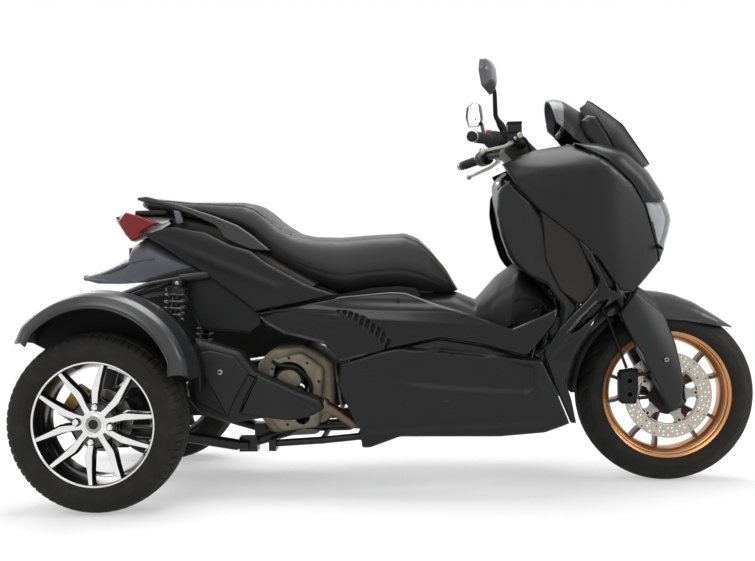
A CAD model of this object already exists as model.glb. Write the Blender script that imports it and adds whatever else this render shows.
# %% [markdown]
# # A three-wheeled scooter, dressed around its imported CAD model
#
# The CAD model is loaded first and stays where it is. Each later cell makes one
# piece or one finish. Shapes are worked out with numpy as whole arrays, because a
# formula for a whole surface is shorter and smoother than points placed by hand.

# %% Load the frame
from math import cos, pi, radians, sin

import bmesh
import bpy
import numpy as np
from mathutils import Matrix, Vector


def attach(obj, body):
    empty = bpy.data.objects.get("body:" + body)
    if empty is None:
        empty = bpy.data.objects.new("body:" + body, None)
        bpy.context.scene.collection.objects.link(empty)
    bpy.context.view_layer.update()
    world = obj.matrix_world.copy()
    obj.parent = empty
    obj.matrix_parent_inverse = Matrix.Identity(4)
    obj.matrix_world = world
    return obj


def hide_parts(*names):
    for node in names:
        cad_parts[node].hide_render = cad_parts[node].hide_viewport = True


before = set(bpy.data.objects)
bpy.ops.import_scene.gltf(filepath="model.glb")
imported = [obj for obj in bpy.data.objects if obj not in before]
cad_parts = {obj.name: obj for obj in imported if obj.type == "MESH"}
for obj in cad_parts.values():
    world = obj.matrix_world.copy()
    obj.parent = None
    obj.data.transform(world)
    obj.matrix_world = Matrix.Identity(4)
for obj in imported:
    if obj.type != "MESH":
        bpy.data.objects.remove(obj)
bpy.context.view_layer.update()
AXLE_X = -0.85125
MM = 0.001
TINY = 1e-12

# %% [markdown]
# ## Measuring lines
#
# Every outline below is written in millimetres as (distance ahead of the rear axle,
# height). A line of points has hard corners; real panels have soft ones. Averaging
# the line over a short window rounds each corner and leaves the straights alone,
# which is simpler to steer than spline handles.

# %% Lines and tables
def averaged(values, reach):
    """Return the values averaged under a bell of `reach` samples each way."""
    bell = np.hanning(2 * reach + 3)[1:-1]
    bell /= bell.sum()
    return np.stack([np.convolve(values[:, k], bell, "valid") for k in range(values.shape[1])],
        axis=1)


def resampled(points, count):
    """Return `count` points evenly spaced along a polyline, by its running length."""
    points = np.asarray(points, float)
    way = np.concatenate([[0], np.cumsum(np.linalg.norm(np.diff(points, axis=0), axis=1))])
    steps = np.linspace(0, way[-1], count)
    return np.stack([np.interp(steps, way, points[:, k]) for k in range(points.shape[1])],
        axis=1), way[-1]


def soft_line(points, count, soft):
    """An open line: resampled, then averaged over `soft` mm. Its ends are mirrored
    through themselves before the averaging, so they stay where they are."""
    line, length = resampled(points, count)
    reach = max(1, min(count - 2, int(soft / length * count / 2)))
    before = 2 * line[0] - line[reach:0:-1]
    after = 2 * line[-1] - line[-2:-reach - 2:-1]
    return averaged(np.vstack([before, line, after]), reach)


def soft_loop(points, count, soft):
    """A closed line: resampled, then averaged round the loop over `soft` mm."""
    line, length = resampled(list(points) + [points[0]], count + 1)
    line = line[:-1]
    reach = max(1, int(soft / length * count / 2))
    return averaged(np.vstack([line[-reach:], line, line[:reach]]), reach)


def smooth_table(rows, soft):
    """A function of one number: the rows joined by straight lines, averaged over `soft`."""
    rows = np.array(rows, float)
    stations = np.arange(rows[0, 0] - soft, rows[-1, 0] + soft, 2.0)
    dense = np.interp(stations, rows[:, 0], rows[:, 1])
    reach = max(1, int(soft / 4))
    smooth = averaged(np.pad(dense, reach, mode="edge")[:, None], reach)[:, 0]
    return lambda x: np.interp(x, stations, smooth)


def step(x, low, high):
    """Rise smoothly from 0 at `low` to 1 at `high`, as 3t^2 - 2t^3."""
    t = np.clip((x - low) / (high - low), 0, 1)
    return t * t * (3 - 2 * t)


# %% [markdown]
# ## From a grid of points to a mesh
#
# A surface is an array of rows and columns of points. Neighbouring rows and columns
# give its four-sided faces. Where an edge shrinks to a point or meets itself, the
# doubled points are merged afterwards, and the normals are made to face outwards.

# %% Shapes: (points, faces, finish number)
def grid(points, wrap_rows=False, wrap_columns=False, finish=0):
    """Join a grid of points by quads: each face is point (i, j), its next in the row,
    the one diagonal to it and its next in the column."""
    rows, columns = points.shape[:2]
    number = np.arange(rows * columns).reshape(rows, columns)
    if wrap_rows:
        number = np.vstack([number, number[:1]])
    if wrap_columns:
        number = np.hstack([number, number[:, :1]])
    faces = np.stack([number[:-1, :-1], number[:-1, 1:], number[1:, 1:], number[1:, :-1]], axis=-1)
    return points.reshape(-1, 3), faces.reshape(-1, 4).tolist(), finish


def normals_of(points):
    """Unit normals of a grid: the cross product of its row and column slopes."""
    across = np.cross(np.gradient(points, axis=0), np.gradient(points, axis=1))
    return across / np.maximum(np.linalg.norm(across, axis=-1, keepdims=True), 1e-9)


def end_strips(rows, columns):
    """Quads that close a doubled sheet of 2 x rows at its first and last column."""
    number = np.arange(2 * rows * columns).reshape(2 * rows, columns)
    strips = []
    for end in (0, columns - 1):
        near, far = number[:rows, end], number[rows:, end][::-1]
        strips += np.stack([near[:-1], near[1:], far[1:], far[:-1]], axis=-1).tolist()
    return strips


def shell(points, thickness, finish=0, inward=None):
    """A closed plate: the grid, and the same grid moved along its normals."""
    side = normals_of(points)
    if inward is not None:
        side = side * np.sign(np.sum(side * inward, axis=-1, keepdims=True) + TINY)
    loop = np.concatenate([points, (points + side * thickness)[::-1]], axis=0)
    verts, faces, _ = grid(loop, wrap_rows=True)
    return verts, faces + end_strips(*points.shape[:2]), finish


def swept(centre, radius, y, angle):
    """Points at a radius and an angle round a line through the centre along Y, and at y on it."""
    return np.stack(np.broadcast_arrays(centre[0] + radius * np.cos(angle), centre[1] + y, centre[2]
        + radius * np.sin(angle)), axis=-1)


def turned(profile, centre, steps=96, finish=0, closed=True):
    """Turn a profile of (y, radius) round a line through the centre, along Y."""
    profile = np.asarray(profile, float)
    angle = np.linspace(0, 2 * pi, steps, endpoint=False)[:, None]
    points = swept(centre, profile[:, 1], profile[:, 0], angle)
    return grid(points, wrap_rows=True, wrap_columns=closed, finish=finish)


def tube(path, radius, sides=16, finish=0, up=(0, 1, 0), flat=1.0):
    """A round bar: at each point of the path a circle square to it. One axis of the
    circle is the path's direction crossed with `up`; its ends close to a point."""
    path = np.asarray(path, float)
    radius = np.broadcast_to(np.asarray(radius, float), len(path))
    ahead = np.gradient(path, axis=0)
    ahead /= np.linalg.norm(ahead, axis=1, keepdims=True)
    first = np.cross(ahead, np.array(up, float))
    first /= np.linalg.norm(first, axis=1, keepdims=True)
    second = np.cross(ahead, first)
    path = np.vstack([path[:1], path[:1], path, path[-1:], path[-1:]])
    radius = np.concatenate([[0, radius[0] * 0.8], radius, [radius[-1] * 0.8, 0]])
    first, second = (np.vstack([v[:1], v[:1], v, v[-1:], v[-1:]]) for v in (first, second))
    angle = np.linspace(0, 2 * pi, sides, endpoint=False)
    along_first = first[:, None] * np.cos(angle)[None, :, None]
    along_second = flat * second[:, None] * np.sin(angle)[None, :, None]
    points = path[:, None] + radius[:, None, None] * (along_first + along_second)
    return grid(points, wrap_columns=True, finish=finish)


def offset_loop(loop, amount):
    """Move a closed flat line inwards by `amount`, along the mean of its sides' normals."""
    along = np.roll(loop, -1, axis=0) - np.roll(loop, 1, axis=0)
    along /= np.maximum(np.linalg.norm(along, axis=1, keepdims=True), 1e-9)
    area = np.sum(loop[:, 0] * np.roll(loop[:, 1], -1) - np.roll(loop[:, 0], -1) * loop[:, 1])
    return loop + amount * np.sign(area) * np.stack([-along[:, 1], along[:, 0]], axis=1)


def block(outline, place, depth, edge=2.0, finish=0, steps=3):
    """A plate with rounded edges: rings of the outline from one face to the other. Near
    each face a ring is set in by edge x (1 - sin t), a quarter circle of that radius."""
    turn = np.linspace(0, pi / 2, steps)
    heights = np.concatenate([edge * (1 - np.cos(turn)), depth - edge * (1 - np.cos(turn))[::-1]])
    insets = np.concatenate([edge * (1 - np.sin(turn)), edge * (1 - np.sin(turn))[::-1]])
    rings = [np.column_stack([offset_loop(outline, inset), np.full(len(outline), height)])
             for height, inset in zip(heights, insets)]
    verts, faces, _ = grid(np.array(rings), wrap_columns=True)
    size = len(outline)
    last = size * (len(rings) - 1)
    faces += [list(range(size)), list(range(last, last + size))]
    origin, right, up, out = (np.array(v, float) for v in place)
    return origin + verts[:, :1] * right + verts[:, 1:2] * up + verts[:, 2:] * out, faces, finish


# the two axes of a flat outline and the way it faces
TO_RIGHT = (1, 0, 0), (0, 0, 1), (0, -1, 0)
TO_LEFT = (1, 0, 0), (0, 0, 1), (0, 1, 0)
TO_TOP = (1, 0, 0), (0, 1, 0), (0, 0, 1)
TO_REAR = (0, 1, 0), (0, 0, 1), (-1, 0, 0)
AHEAD, UP = np.eye(3)[0], np.eye(3)[2]


def side_block(outline, y, depth, edge, finish=0, count=120, soft=16, steps=5):
    """A plate whose outline is drawn in side view, from y outwards to the right."""
    return block(soft_loop(outline, count, soft), ((0, y, 0), *TO_RIGHT), depth, edge, finish,
        steps)


def side_disc(x, z, y, radius, depth, edge=2.0, finish=0, count=40):
    """A round boss that faces right."""
    return block(circle(radius, count, (x, z)), ((0, y, 0), *TO_RIGHT), depth, edge, finish)


def soft_box(half_wide, half_high, count, soft):
    """A rectangle with rounded corners, about the origin."""
    return soft_loop([(-half_wide, -half_high), (half_wide, -half_high), (half_wide, half_high),
        (-half_wide, half_high)], count, soft)


def mirrored(half, tip):
    """An outline that is the same on both sides of its own middle line."""
    return half + [tip] + [(x, -y) for x, y in reversed(half)]


def and_back(profile):
    """A wheel's profile of (out, radius) that is the same inside and outside."""
    return profile + [(-out, radius) for out, radius in reversed(profile)]


def circle(radius, count=24, centre=(0, 0), phase=0.0):
    """Points round a circle."""
    angle = np.linspace(0, 2 * pi, count, endpoint=False) + phase
    return np.stack([centre[0] + radius * np.cos(angle), centre[1] + radius * np.sin(angle)], 1)


def mirror(shape):
    """The same shape on the other side of the middle plane."""
    return shape[0] * (1, -1, 1), shape[1], shape[2]


def both(shapes):
    """The shapes and their mirror images."""
    return list(shapes) + [mirror(s) for s in shapes]


made = []


def piece(name, shapes, finishes, body, replaces=(), sharp=38.0):
    """Make one object from shapes, in the frame's metres, and let it ride on a body."""
    points, faces, marks = [], [], []
    start = 0
    for verts, quads, finish in shapes:
        points.append(verts)
        faces += [[start + k for k in face] for face in quads]
        marks += [finish] * len(quads)
        start += len(verts)
    mesh = bpy.data.meshes.new(name)
    mesh.from_pydata((np.vstack(points) * MM + (AXLE_X, 0, 0)).tolist(), [], faces)
    mesh.polygons.foreach_set("material_index", marks)
    work = bmesh.new()
    work.from_mesh(mesh)
    bmesh.ops.remove_doubles(work, verts=work.verts, dist=1e-6)
    bmesh.ops.dissolve_degenerate(work, edges=work.edges, dist=1e-7)
    bmesh.ops.recalc_face_normals(work, faces=work.faces)
    work.to_mesh(mesh)
    work.free()
    mesh.polygons.foreach_set("use_smooth", [True] * len(mesh.polygons))
    mesh.set_sharp_from_angle(angle=radians(sharp))
    for finish in (finishes if isinstance(finishes, (list, tuple)) else [finishes]):
        mesh.materials.append(finish)
    thing = bpy.data.objects.new(name, mesh)
    bpy.context.scene.collection.objects.link(thing)
    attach(thing, body)
    if replaces:
        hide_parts(*replaces)
    made.append(thing)
    print(f"{name}: {len(mesh.polygons)} faces on {body}")
    return thing


# %% [markdown]
# ## Shader arithmetic
#
# A finish is a small formula: a base colour, a little cloudiness, a fine grain. Node
# trees are hard to read as code, so one class wraps a socket and turns + - * / into
# Math nodes. One method makes any other node.

# %% Sockets that add and multiply
class Value:
    """A number that varies over the surface."""

    def __init__(self, finish, socket):
        self.finish, self.socket = finish, socket

    def __add__(self, other):
        return self.finish.math("ADD", self, other)

    def __radd__(self, other):
        return self.finish.math("ADD", other, self)

    def __sub__(self, other):
        return self.finish.math("SUBTRACT", self, other)

    def __mul__(self, other):
        return self.finish.math("MULTIPLY", self, other)


class Finish:
    """One material's nodes."""

    def __init__(self, name):
        self.material = bpy.data.materials.new(name)
        self.material.use_nodes = True
        self.nodes = self.material.node_tree.nodes
        self.links = self.material.node_tree.links
        self.nodes.clear()

    def node(self, kind, settings=None, inputs=None, output=0):
        """Add any node: its settings first, then the values or links of its sockets."""
        new = self.nodes.new(kind)
        for key, value in (settings or {}).items():
            setattr(new, key, value)
        for key, value in (inputs or {}).items():
            if isinstance(value, Value):
                self.links.new(value.socket, new.inputs[key])
            else:
                new.inputs[key].default_value = value
        return Value(self, new.outputs[output])

    def math(self, operation, *values):
        return self.node("ShaderNodeMath", {"operation": operation}, dict(enumerate(values)))

    def mix(self, factor, first, second):
        """Blend two colours."""
        first, second = ((*c, 1.0) if isinstance(c, tuple) and len(c) == 3 else c
            for c in (first, second))
        return self.node("ShaderNodeMix", {"data_type": "RGBA"}, {0: factor, 6: first, 7: second},
            output=2)

    def rise(self, value, low, high):
        """0 below `low`, 1 above `high`, smooth between."""
        return self.node("ShaderNodeMapRange", {"interpolation_type": "SMOOTHSTEP"},
            {"Value": value, "From Min": low, "From Max": high})

    def spot(self):
        return self.node("ShaderNodeTexCoord", output=3)

    def noise(self, scale, detail=2.0, rough=0.5, stretch=None):
        where = self.spot()
        if stretch:
            where = self.node("ShaderNodeMapping", {}, {"Vector": where, "Scale": stretch})
        return self.node("ShaderNodeTexNoise", {},
            {"Vector": where, "Scale": scale, "Detail": detail, "Roughness": rough})

    def bump(self, height, strength, distance):
        return self.node("ShaderNodeBump", {},
            {"Height": height, "Strength": strength, "Distance": distance})

    def done(self, **inputs):
        """Finish with a Principled shader; underscores stand for spaces."""
        shader = self.node("ShaderNodeBsdfPrincipled", {},
            {k.replace("_", " "): v for k, v in inputs.items()})
        out = self.nodes.new("ShaderNodeOutputMaterial")
        self.links.new(shader.socket, out.inputs["Surface"])
        return self.material


# %% [markdown]
# ## Finishes
#
# Plastic body panels are grained in the mould: the colour hardly varies, but a fine
# bump breaks up the highlights. Painted metal is smoother, with an orange-peel
# ripple. Rubber is rougher and greyer. Only the numbers differ, so each family is one
# function.

# %% Plastic, paint, rubber and metal
def shade(colour, amount):
    """A colour made darker or lighter, no brighter than white."""
    return tuple(min(1.0, c * amount) for c in colour)


def moulded(name, colour, rough, grain=0.22, size=1400.0, coat=0.0, level=0.5):
    """Moulded plastic: cloudy colour (noise over 15 cm), with scuffs in its roughness and
    the mould's fine grain as bump."""
    f = Finish(name)
    cloud = f.noise(7.0, 3.0)
    fine = f.noise(size, 2.0, 0.6)
    scuff = f.noise(60.0, 5.0, 0.65)
    pale = tuple(min(1.0, c * 1.3 + 0.001) for c in colour)
    dark = shade(colour, 0.75)
    base = f.mix(cloud * 0.8 + scuff * 0.2, dark, pale)
    return f.done(Base_Color=base, Roughness=rough + (scuff - 0.5) * 0.16 + (fine - 0.5) * 0.1,
        Normal=f.bump(fine, grain, 0.0004), Coat_Weight=coat, Coat_Roughness=0.08,
        Specular_IOR_Level=level)


def painted(name, colour, rough=0.3, metal=0.0, coat=0.3, level=0.5):
    """Paint on metal: a faint orange peel (noise of a few millimetres) under a clear coat."""
    f = Finish(name)
    peel = f.noise(420.0, 2.0)
    cloud = f.noise(9.0, 3.0)
    base = f.mix(cloud, shade(colour, 0.8), shade(colour, 1.25))
    return f.done(Base_Color=base, Roughness=rough + (cloud - 0.5) * 0.12, Metallic=metal,
        Normal=f.bump(peel, 0.12, 0.0006), Coat_Weight=coat, Coat_Roughness=0.12,
        Specular_IOR_Level=level)


def cast(name, colour, rough=0.5, metal=0.6):
    """Sand-cast metal: a fine grit as bump, and darker stains in soft patches."""
    f = Finish(name)
    grit = f.noise(650.0, 4.0, 0.7)
    stain = f.noise(18.0, 4.0, 0.6)
    base = f.mix(f.rise(stain, 0.3, 0.7), shade(colour, 0.62), colour)
    return f.done(Base_Color=base, Roughness=rough + (grit - 0.5) * 0.3, Metallic=metal,
        Normal=f.bump(grit, 0.4, 0.0008), Specular_IOR_Level=0.3)


def machined(name, colour, rough=0.28):
    """Cut metal: fine tool lines, as noise stretched thin across them."""
    f = Finish(name)
    lines = f.noise(160.0, 3.0, 0.6, stretch=(1.0, 40.0, 1.0))
    cloud = f.noise(12.0, 2.0)
    base = f.mix(lines, shade(colour, 0.86), colour)
    return f.done(Base_Color=base, Roughness=rough + (cloud - 0.5) * 0.14, Metallic=1.0,
        Normal=f.bump(lines, 0.1, 0.0002))


BLOOM = (0.032, 0.030, 0.027)


def rubbery(name, colour, rough=0.72):
    """Rubber: fine grain, bloomed paler in soft patches."""
    f = Finish(name)
    fine = f.noise(900.0, 3.0, 0.7)
    bloom = f.rise(f.noise(22.0, 5.0, 0.6), 0.45, 0.8)
    base = f.mix(bloom * 0.45, colour, BLOOM)
    return f.done(Base_Color=base, Roughness=rough + (fine - 0.5) * 0.2,
        Normal=f.bump(fine, 0.35, 0.0005), Specular_IOR_Level=0.25)


body_matte = moulded("panel matte black", (0.0062, 0.0064, 0.0068), 0.4, level=0.24)
facet_satin = moulded("panel smooth facet", (0.105, 0.106, 0.111), 0.24, grain=0.06, level=0.7)
body_satin = moulded("panel satin charcoal", (0.0095, 0.0098, 0.0105), 0.33, grain=0.12, level=0.3)
body_gloss = moulded("panel gloss black", (0.0035, 0.0035, 0.0038), 0.2, grain=0.02, coat=0.12,
    level=0.22)
inner_black = moulded("inner panel grained black", (0.0135, 0.0122, 0.0112), 0.5, grain=0.4,
    size=800.0, level=0.25)
fender_satin = moulded("fender satin grey", (0.0105, 0.0109, 0.012), 0.31, grain=0.02, level=0.6)
slate_plastic = moulded("slate grey plastic", (0.085, 0.085, 0.11), 0.42, grain=0.15)
visor_grey = moulded("visor satin grey", (0.13, 0.132, 0.14), 0.34, grain=0.12)
liner_black = moulded("liner black", (0.0045, 0.0045, 0.0048), 0.6, grain=0.4, size=700.0,
    level=0.2)
frame_black = painted("frame black paint", (0.006, 0.006, 0.0065), 0.34, coat=0.1, level=0.25)
fork_black = painted("fork black paint", (0.006, 0.006, 0.0065), 0.36, coat=0.08, level=0.25)
rim_black = painted("rim gloss black", (0.006, 0.006, 0.007), 0.16, coat=0.7)
caliper_black = cast("caliper black casting", (0.008, 0.008, 0.0085), 0.5, 0.1)
caliper_gold = cast("caliper gold casting", (0.36, 0.23, 0.07), 0.42, 0.7)
case_black = cast("case black casting", (0.009, 0.009, 0.0095), 0.5, 0.2)
engine_alloy = cast("engine champagne casting", (0.26, 0.225, 0.165), 0.5, 0.35)
muffler_black = cast("muffler heatproof black", (0.0065, 0.0065, 0.007), 0.5, 0.0)
pipe_brown = machined("exhaust heat-browned steel", (0.17, 0.12, 0.085), 0.42)
spring_grey = painted("spring grey coat", (0.05, 0.05, 0.052), 0.25, metal=0.5)
rim_silver = machined("rim diamond-cut alloy", (0.80, 0.80, 0.79), 0.30)
chrome = machined("chrome", (0.82, 0.83, 0.84), 0.09)
cap_grey = machined("cap brushed grey", (0.34, 0.335, 0.32), 0.36)
rim_bronze = painted("rim bronze", (0.50, 0.235, 0.092), 0.3, metal=0.75, coat=0.25)
bronze_dark = painted("spoke dark bronze", (0.085, 0.042, 0.022), 0.34, metal=0.6, coat=0.2)
tyre_rubber = rubbery("tyre rubber", (0.0085, 0.0078, 0.0072), 0.74)
grip_rubber = rubbery("grip rubber", (0.012, 0.012, 0.0125), 0.6)
hose_rubber = rubbery("hose rubber", (0.010, 0.010, 0.0105), 0.5)
radiator_black = cast("radiator core", (0.03, 0.03, 0.031), 0.5, 0.5)


# %% [markdown]
# The brake discs are ground steel: the grinding leaves arcs round the axle. A wave in
# rings about each hub gives them, with the hub's place taken off the Object
# coordinates by a Mapping node.

# %% Ground steel
def ground_steel(name, colour, hub):
    """Steel ground in circles: a ring wave about the hub, plus cloudy heat tint."""
    f = Finish(name)
    where = f.node("ShaderNodeMapping", {},
        {"Vector": f.spot(), "Location": tuple(-h for h in hub)})
    rings = f.node("ShaderNodeTexWave", {"wave_type": "RINGS", "rings_direction": "Y"},
        {"Vector": where, "Scale": 260.0, "Distortion": 1.2, "Detail": 2.0}, output=1)
    cloud = f.noise(30.0, 3.0)
    base = f.mix(rings * 0.5 + cloud * 0.5, shade(colour, 0.8), colour)
    return f.done(Base_Color=base, Roughness=0.36 + (cloud - 0.5) * 0.2, Metallic=0.85,
        Normal=f.bump(rings, 0.08, 0.0002))


FRONT_HUB = (1686.0, 0.0, 274.5)
REAR_R, REAR_Y = 258.0, 336.0
disc_steel = ground_steel("disc ground steel", (0.50, 0.45, 0.38),
    (FRONT_HUB[0] * MM + AXLE_X, 0, FRONT_HUB[2] * MM))
rear_disc_steel = ground_steel("rear disc steel", (0.30, 0.29, 0.28), (AXLE_X, 0, REAR_R * MM))


# %% [markdown]
# Seat vinyl has a leather grain: small cells with soft creases between them. A Voronoi
# texture's distance to the nearest edge gives the creases.

# %% Vinyl, lenses and glass
def vinyl(name, colour, rough):
    """Leather-grained vinyl: cells about 2 mm across, sunk along their edges."""
    f = Finish(name)
    cells = f.node("ShaderNodeTexVoronoi", {"feature": "DISTANCE_TO_EDGE"},
        {"Vector": f.spot(), "Scale": 420.0})
    crease = f.rise(cells, 0.0, 0.12)
    cloud = f.noise(14.0, 4.0)
    base = f.mix(cloud * 0.5 + crease * 0.5, shade(colour, 0.65), shade(colour, 1.3))
    return f.done(Base_Color=base, Roughness=rough + (cloud - 0.5) * 0.18,
        Normal=f.bump(crease, 0.35, 0.0006), Sheen_Weight=0.08, Sheen_Roughness=0.4,
        Specular_IOR_Level=0.45)


def clear(name, colour, rough=0.03, alpha=0.35, level=0.6):
    """Clear or tinted plastic: mostly see-through, with a gloss that stays."""
    f = Finish(name)
    haze = f.noise(40.0, 3.0)
    f.material.surface_render_method = "BLENDED"
    return f.done(Base_Color=(*colour, 1.0), Roughness=rough + haze * 0.03, Alpha=alpha
        + (haze - 0.5) * 0.03, IOR=1.49, Specular_IOR_Level=level)


def prism_lens(name, dark, light, scale, coat=0.8):
    """A lamp's prismatic lens: a fine net of blisters behind a glossy skin."""
    f = Finish(name)
    net = f.node("ShaderNodeTexVoronoi", {"feature": "F1"}, {"Vector": f.spot(), "Scale": scale})
    base = f.mix(f.rise(net, 0.15, 0.7), light, dark)
    return f.done(Base_Color=base, Roughness=0.08 + net * 0.08, Normal=f.bump(net, 0.3, 0.001),
        Coat_Weight=coat, Specular_IOR_Level=0.3)


seat_vinyl = vinyl("seat grained vinyl", (0.0125, 0.0118, 0.0118), 0.42)
seat_side = vinyl("seat side vinyl", (0.020, 0.0195, 0.0205), 0.6)
lens_clear = clear("lens clear", (0.42, 0.44, 0.47), 0.03, 0.24)
screen_smoke = clear("screen smoked", (0.002, 0.002, 0.0022), 0.2, 0.985, 0.05)
lens_red = prism_lens("lens red", (0.13, 0.001, 0.002), (0.30, 0.003, 0.006), 700.0, 0.15)
lens_white = prism_lens("lens white", (0.45, 0.46, 0.47), (0.9, 0.9, 0.9), 150.0)
mirror_glass = machined("mirror glass", (0.93, 0.94, 0.95), 0.02)
mirror_silver = painted("mirror silver shell", (0.42, 0.43, 0.45), 0.3, metal=0.5, coat=0.5)
mirror_shell_grey = painted("mirror shell grey", (0.075, 0.075, 0.082), 0.28, metal=0.2, coat=0.3)
red_plastic = moulded("button red", (0.5, 0.02, 0.02), 0.3)
print(len(bpy.data.materials), "finishes")

# %% [markdown]
# ## Camera, floor and light
#
# The camera stands a little lower than the seat and a little ahead of the middle, and
# looks nearly square at the right side. Its axes are worked out from yaw, pitch and roll.
# The floor is pale; away from the vehicle it fades into a plain white that only the
# camera, mirrors and glass see, so the background is white without extra light.

# %% Camera
FOCAL_PIXELS, FRAME_WIDTH, SENSOR = 843.5, 755.0, 36.0
YAW, PITCH, ROLL = 0.0582, -0.0193, -0.0189
eye = np.array([0.9474 + AXLE_X, -2.7072, 0.6956])
look = np.array([-sin(YAW) * cos(PITCH), cos(YAW) * cos(PITCH), sin(PITCH)])
level_right = np.array([cos(YAW), sin(YAW), 0])
level_up = np.cross(level_right, look)
right = level_right * cos(ROLL) + level_up * sin(ROLL)
top = level_up * cos(ROLL) - level_right * sin(ROLL)
lens = bpy.data.cameras.new("camera")
lens.sensor_width = SENSOR
lens.lens = FOCAL_PIXELS / FRAME_WIDTH * SENSOR
camera = bpy.data.objects.new("camera", lens)
matrix = np.eye(4)
matrix[:3, 0], matrix[:3, 1], matrix[:3, 2], matrix[:3, 3] = right, top, -look, eye
camera.matrix_world = Matrix(matrix.tolist())
bpy.context.scene.collection.objects.link(camera)
bpy.context.scene.camera = camera
bpy.context.scene.view_settings.view_transform = "Standard"

# %% Floor and sky
def white_to_the_eye(f, surface, amount):
    """Show plain white to camera, glossy and transmission rays, and the surface to light."""
    rays = {k: f.node("ShaderNodeLightPath", output=k) for k in (0, 3, 6)}
    seen = f.math("MAXIMUM", f.math("MAXIMUM", rays[0], rays[3]), rays[6])
    white = f.node("ShaderNodeEmission", {}, {"Color": (1, 1, 1, 1), "Strength": 1.0})
    return f.node("ShaderNodeMixShader", {}, {0: seen * amount, 1: surface, 2: white})


FADE_START, FADE_END = 1.3, 3.2
FLOOR_HALF = 20
SKY_STRENGTH = 0.42

f = Finish("studio floor")
where = f.spot()
far = f.rise(f.node("ShaderNodeVectorMath", {"operation": "LENGTH"}, {0: where}, output=1),
    FADE_START, FADE_END)
pale = f.node("ShaderNodeBsdfDiffuse", {}, {"Color": (0.86, 0.86, 0.865, 1.0)})
floor_shader = white_to_the_eye(f, pale, 0.45 + far * 0.55)
f.links.new(floor_shader.socket, f.nodes.new("ShaderNodeOutputMaterial").inputs["Surface"])
floor_mesh = bpy.data.meshes.new("floor")
floor_mesh.from_pydata([(x * FLOOR_HALF, y * FLOOR_HALF, 0) for x,
    y in ((-1, -1), (1, -1), (1, 1), (-1, 1))], [], [(0, 1, 2, 3)])
floor_mesh.materials.append(f.material)
floor = bpy.data.objects.new("floor", floor_mesh)
bpy.context.scene.collection.objects.link(floor)

world = bpy.data.worlds.new("studio")
bpy.context.scene.world = world
world.use_nodes = True
nodes, links = world.node_tree.nodes, world.node_tree.links
nodes.clear()
rays = nodes.new("ShaderNodeLightPath")
soft, bright, choose = (nodes.new(k)
    for k in ("ShaderNodeBackground", "ShaderNodeBackground", "ShaderNodeMixShader"))
soft.inputs["Strength"].default_value = SKY_STRENGTH
bright.inputs["Strength"].default_value = 1.0
for background in (soft, bright):
    background.inputs["Color"].default_value = (1, 1, 1, 1)
most = rays.outputs["Is Camera Ray"]
for name in ("Is Glossy Ray", "Is Transmission Ray"):
    larger = nodes.new("ShaderNodeMath")
    larger.operation = "MAXIMUM"
    links.new(most, larger.inputs[0])
    links.new(rays.outputs[name], larger.inputs[1])
    most = larger.outputs[0]
links.new(most, choose.inputs[0])
links.new(soft.outputs[0], choose.inputs[1])
links.new(bright.outputs[0], choose.inputs[2])
links.new(choose.outputs[0], nodes.new("ShaderNodeOutputWorld").inputs["Surface"])


# %% Lamps
def lamp(name, place, size, power):
    """A square soft box that faces the middle of the vehicle."""
    light = bpy.data.lights.new(name, "AREA")
    light.shape, light.size, light.energy = "SQUARE", size, power
    thing = bpy.data.objects.new(name, light)
    thing.location = place
    aim = Vector((0, 0, 0.5)) - Vector(place)
    thing.rotation_euler = aim.to_track_quat("-Z", "Y").to_euler()
    bpy.context.scene.collection.objects.link(thing)


lamp("key", (-1.2, -3.6, 3.6), 2.6, 76.0)
lamp("top", (0.2, 0.4, 4.2), 3.0, 190.0)
lamp("front", (4.0, -1.2, 2.2), 2.0, 55.0)
lamp("back", (-3.2, 2.6, 2.6), 2.4, 80.0)

# %% [markdown]
# ## Tyres
#
# A tyre is a profile turned round the axle. The tread is cut by lowering the profile
# where a groove runs, so the grooves are real and show in outline. Rings on the
# sidewall come from the profile itself.

# %% Tyres
def tyre_profile(radius, bead, width, crown, count):
    """Half-round shoulders joined by a crown: the wall bulges as sin from bead to
    shoulder, and the crown falls by `crown` towards the shoulder as the square of y."""
    half = width / 2
    shoulder = radius - crown
    up = np.linspace(0, 1, count)
    wall_r = bead + (shoulder - bead) * up
    wall_y = half * (0.78 + 0.22 * np.sin(pi * np.clip(up * 0.93 + 0.06, 0, 1)) ** 0.8)
    wall_y[-1] = min(wall_y[-1], half * 0.9)
    ridge = 1.6 * np.exp(-((up - 0.09) / 0.018) ** 2) + 0.9 * np.exp(-((up - 0.2) / 0.012) ** 2)
    ridge += 1.3 * np.exp(-((up - 0.72) / 0.02) ** 2) + 0.7 * np.exp(-((up - 0.79) / 0.012) ** 2)
    wall_y = wall_y + ridge
    over = np.linspace(1, -1, 2 * count + 1)[1:-1]
    top_y = over * wall_y[-1]
    top_r = shoulder + (radius - shoulder) * (1 - np.abs(over) ** 2.4)
    y = np.concatenate([[half * 0.62], wall_y, top_y, -wall_y[::-1], [-half * 0.62]])
    r = np.concatenate([[bead + 1], wall_r, top_r, wall_r[::-1], [bead + 1]])
    return y, r


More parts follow.
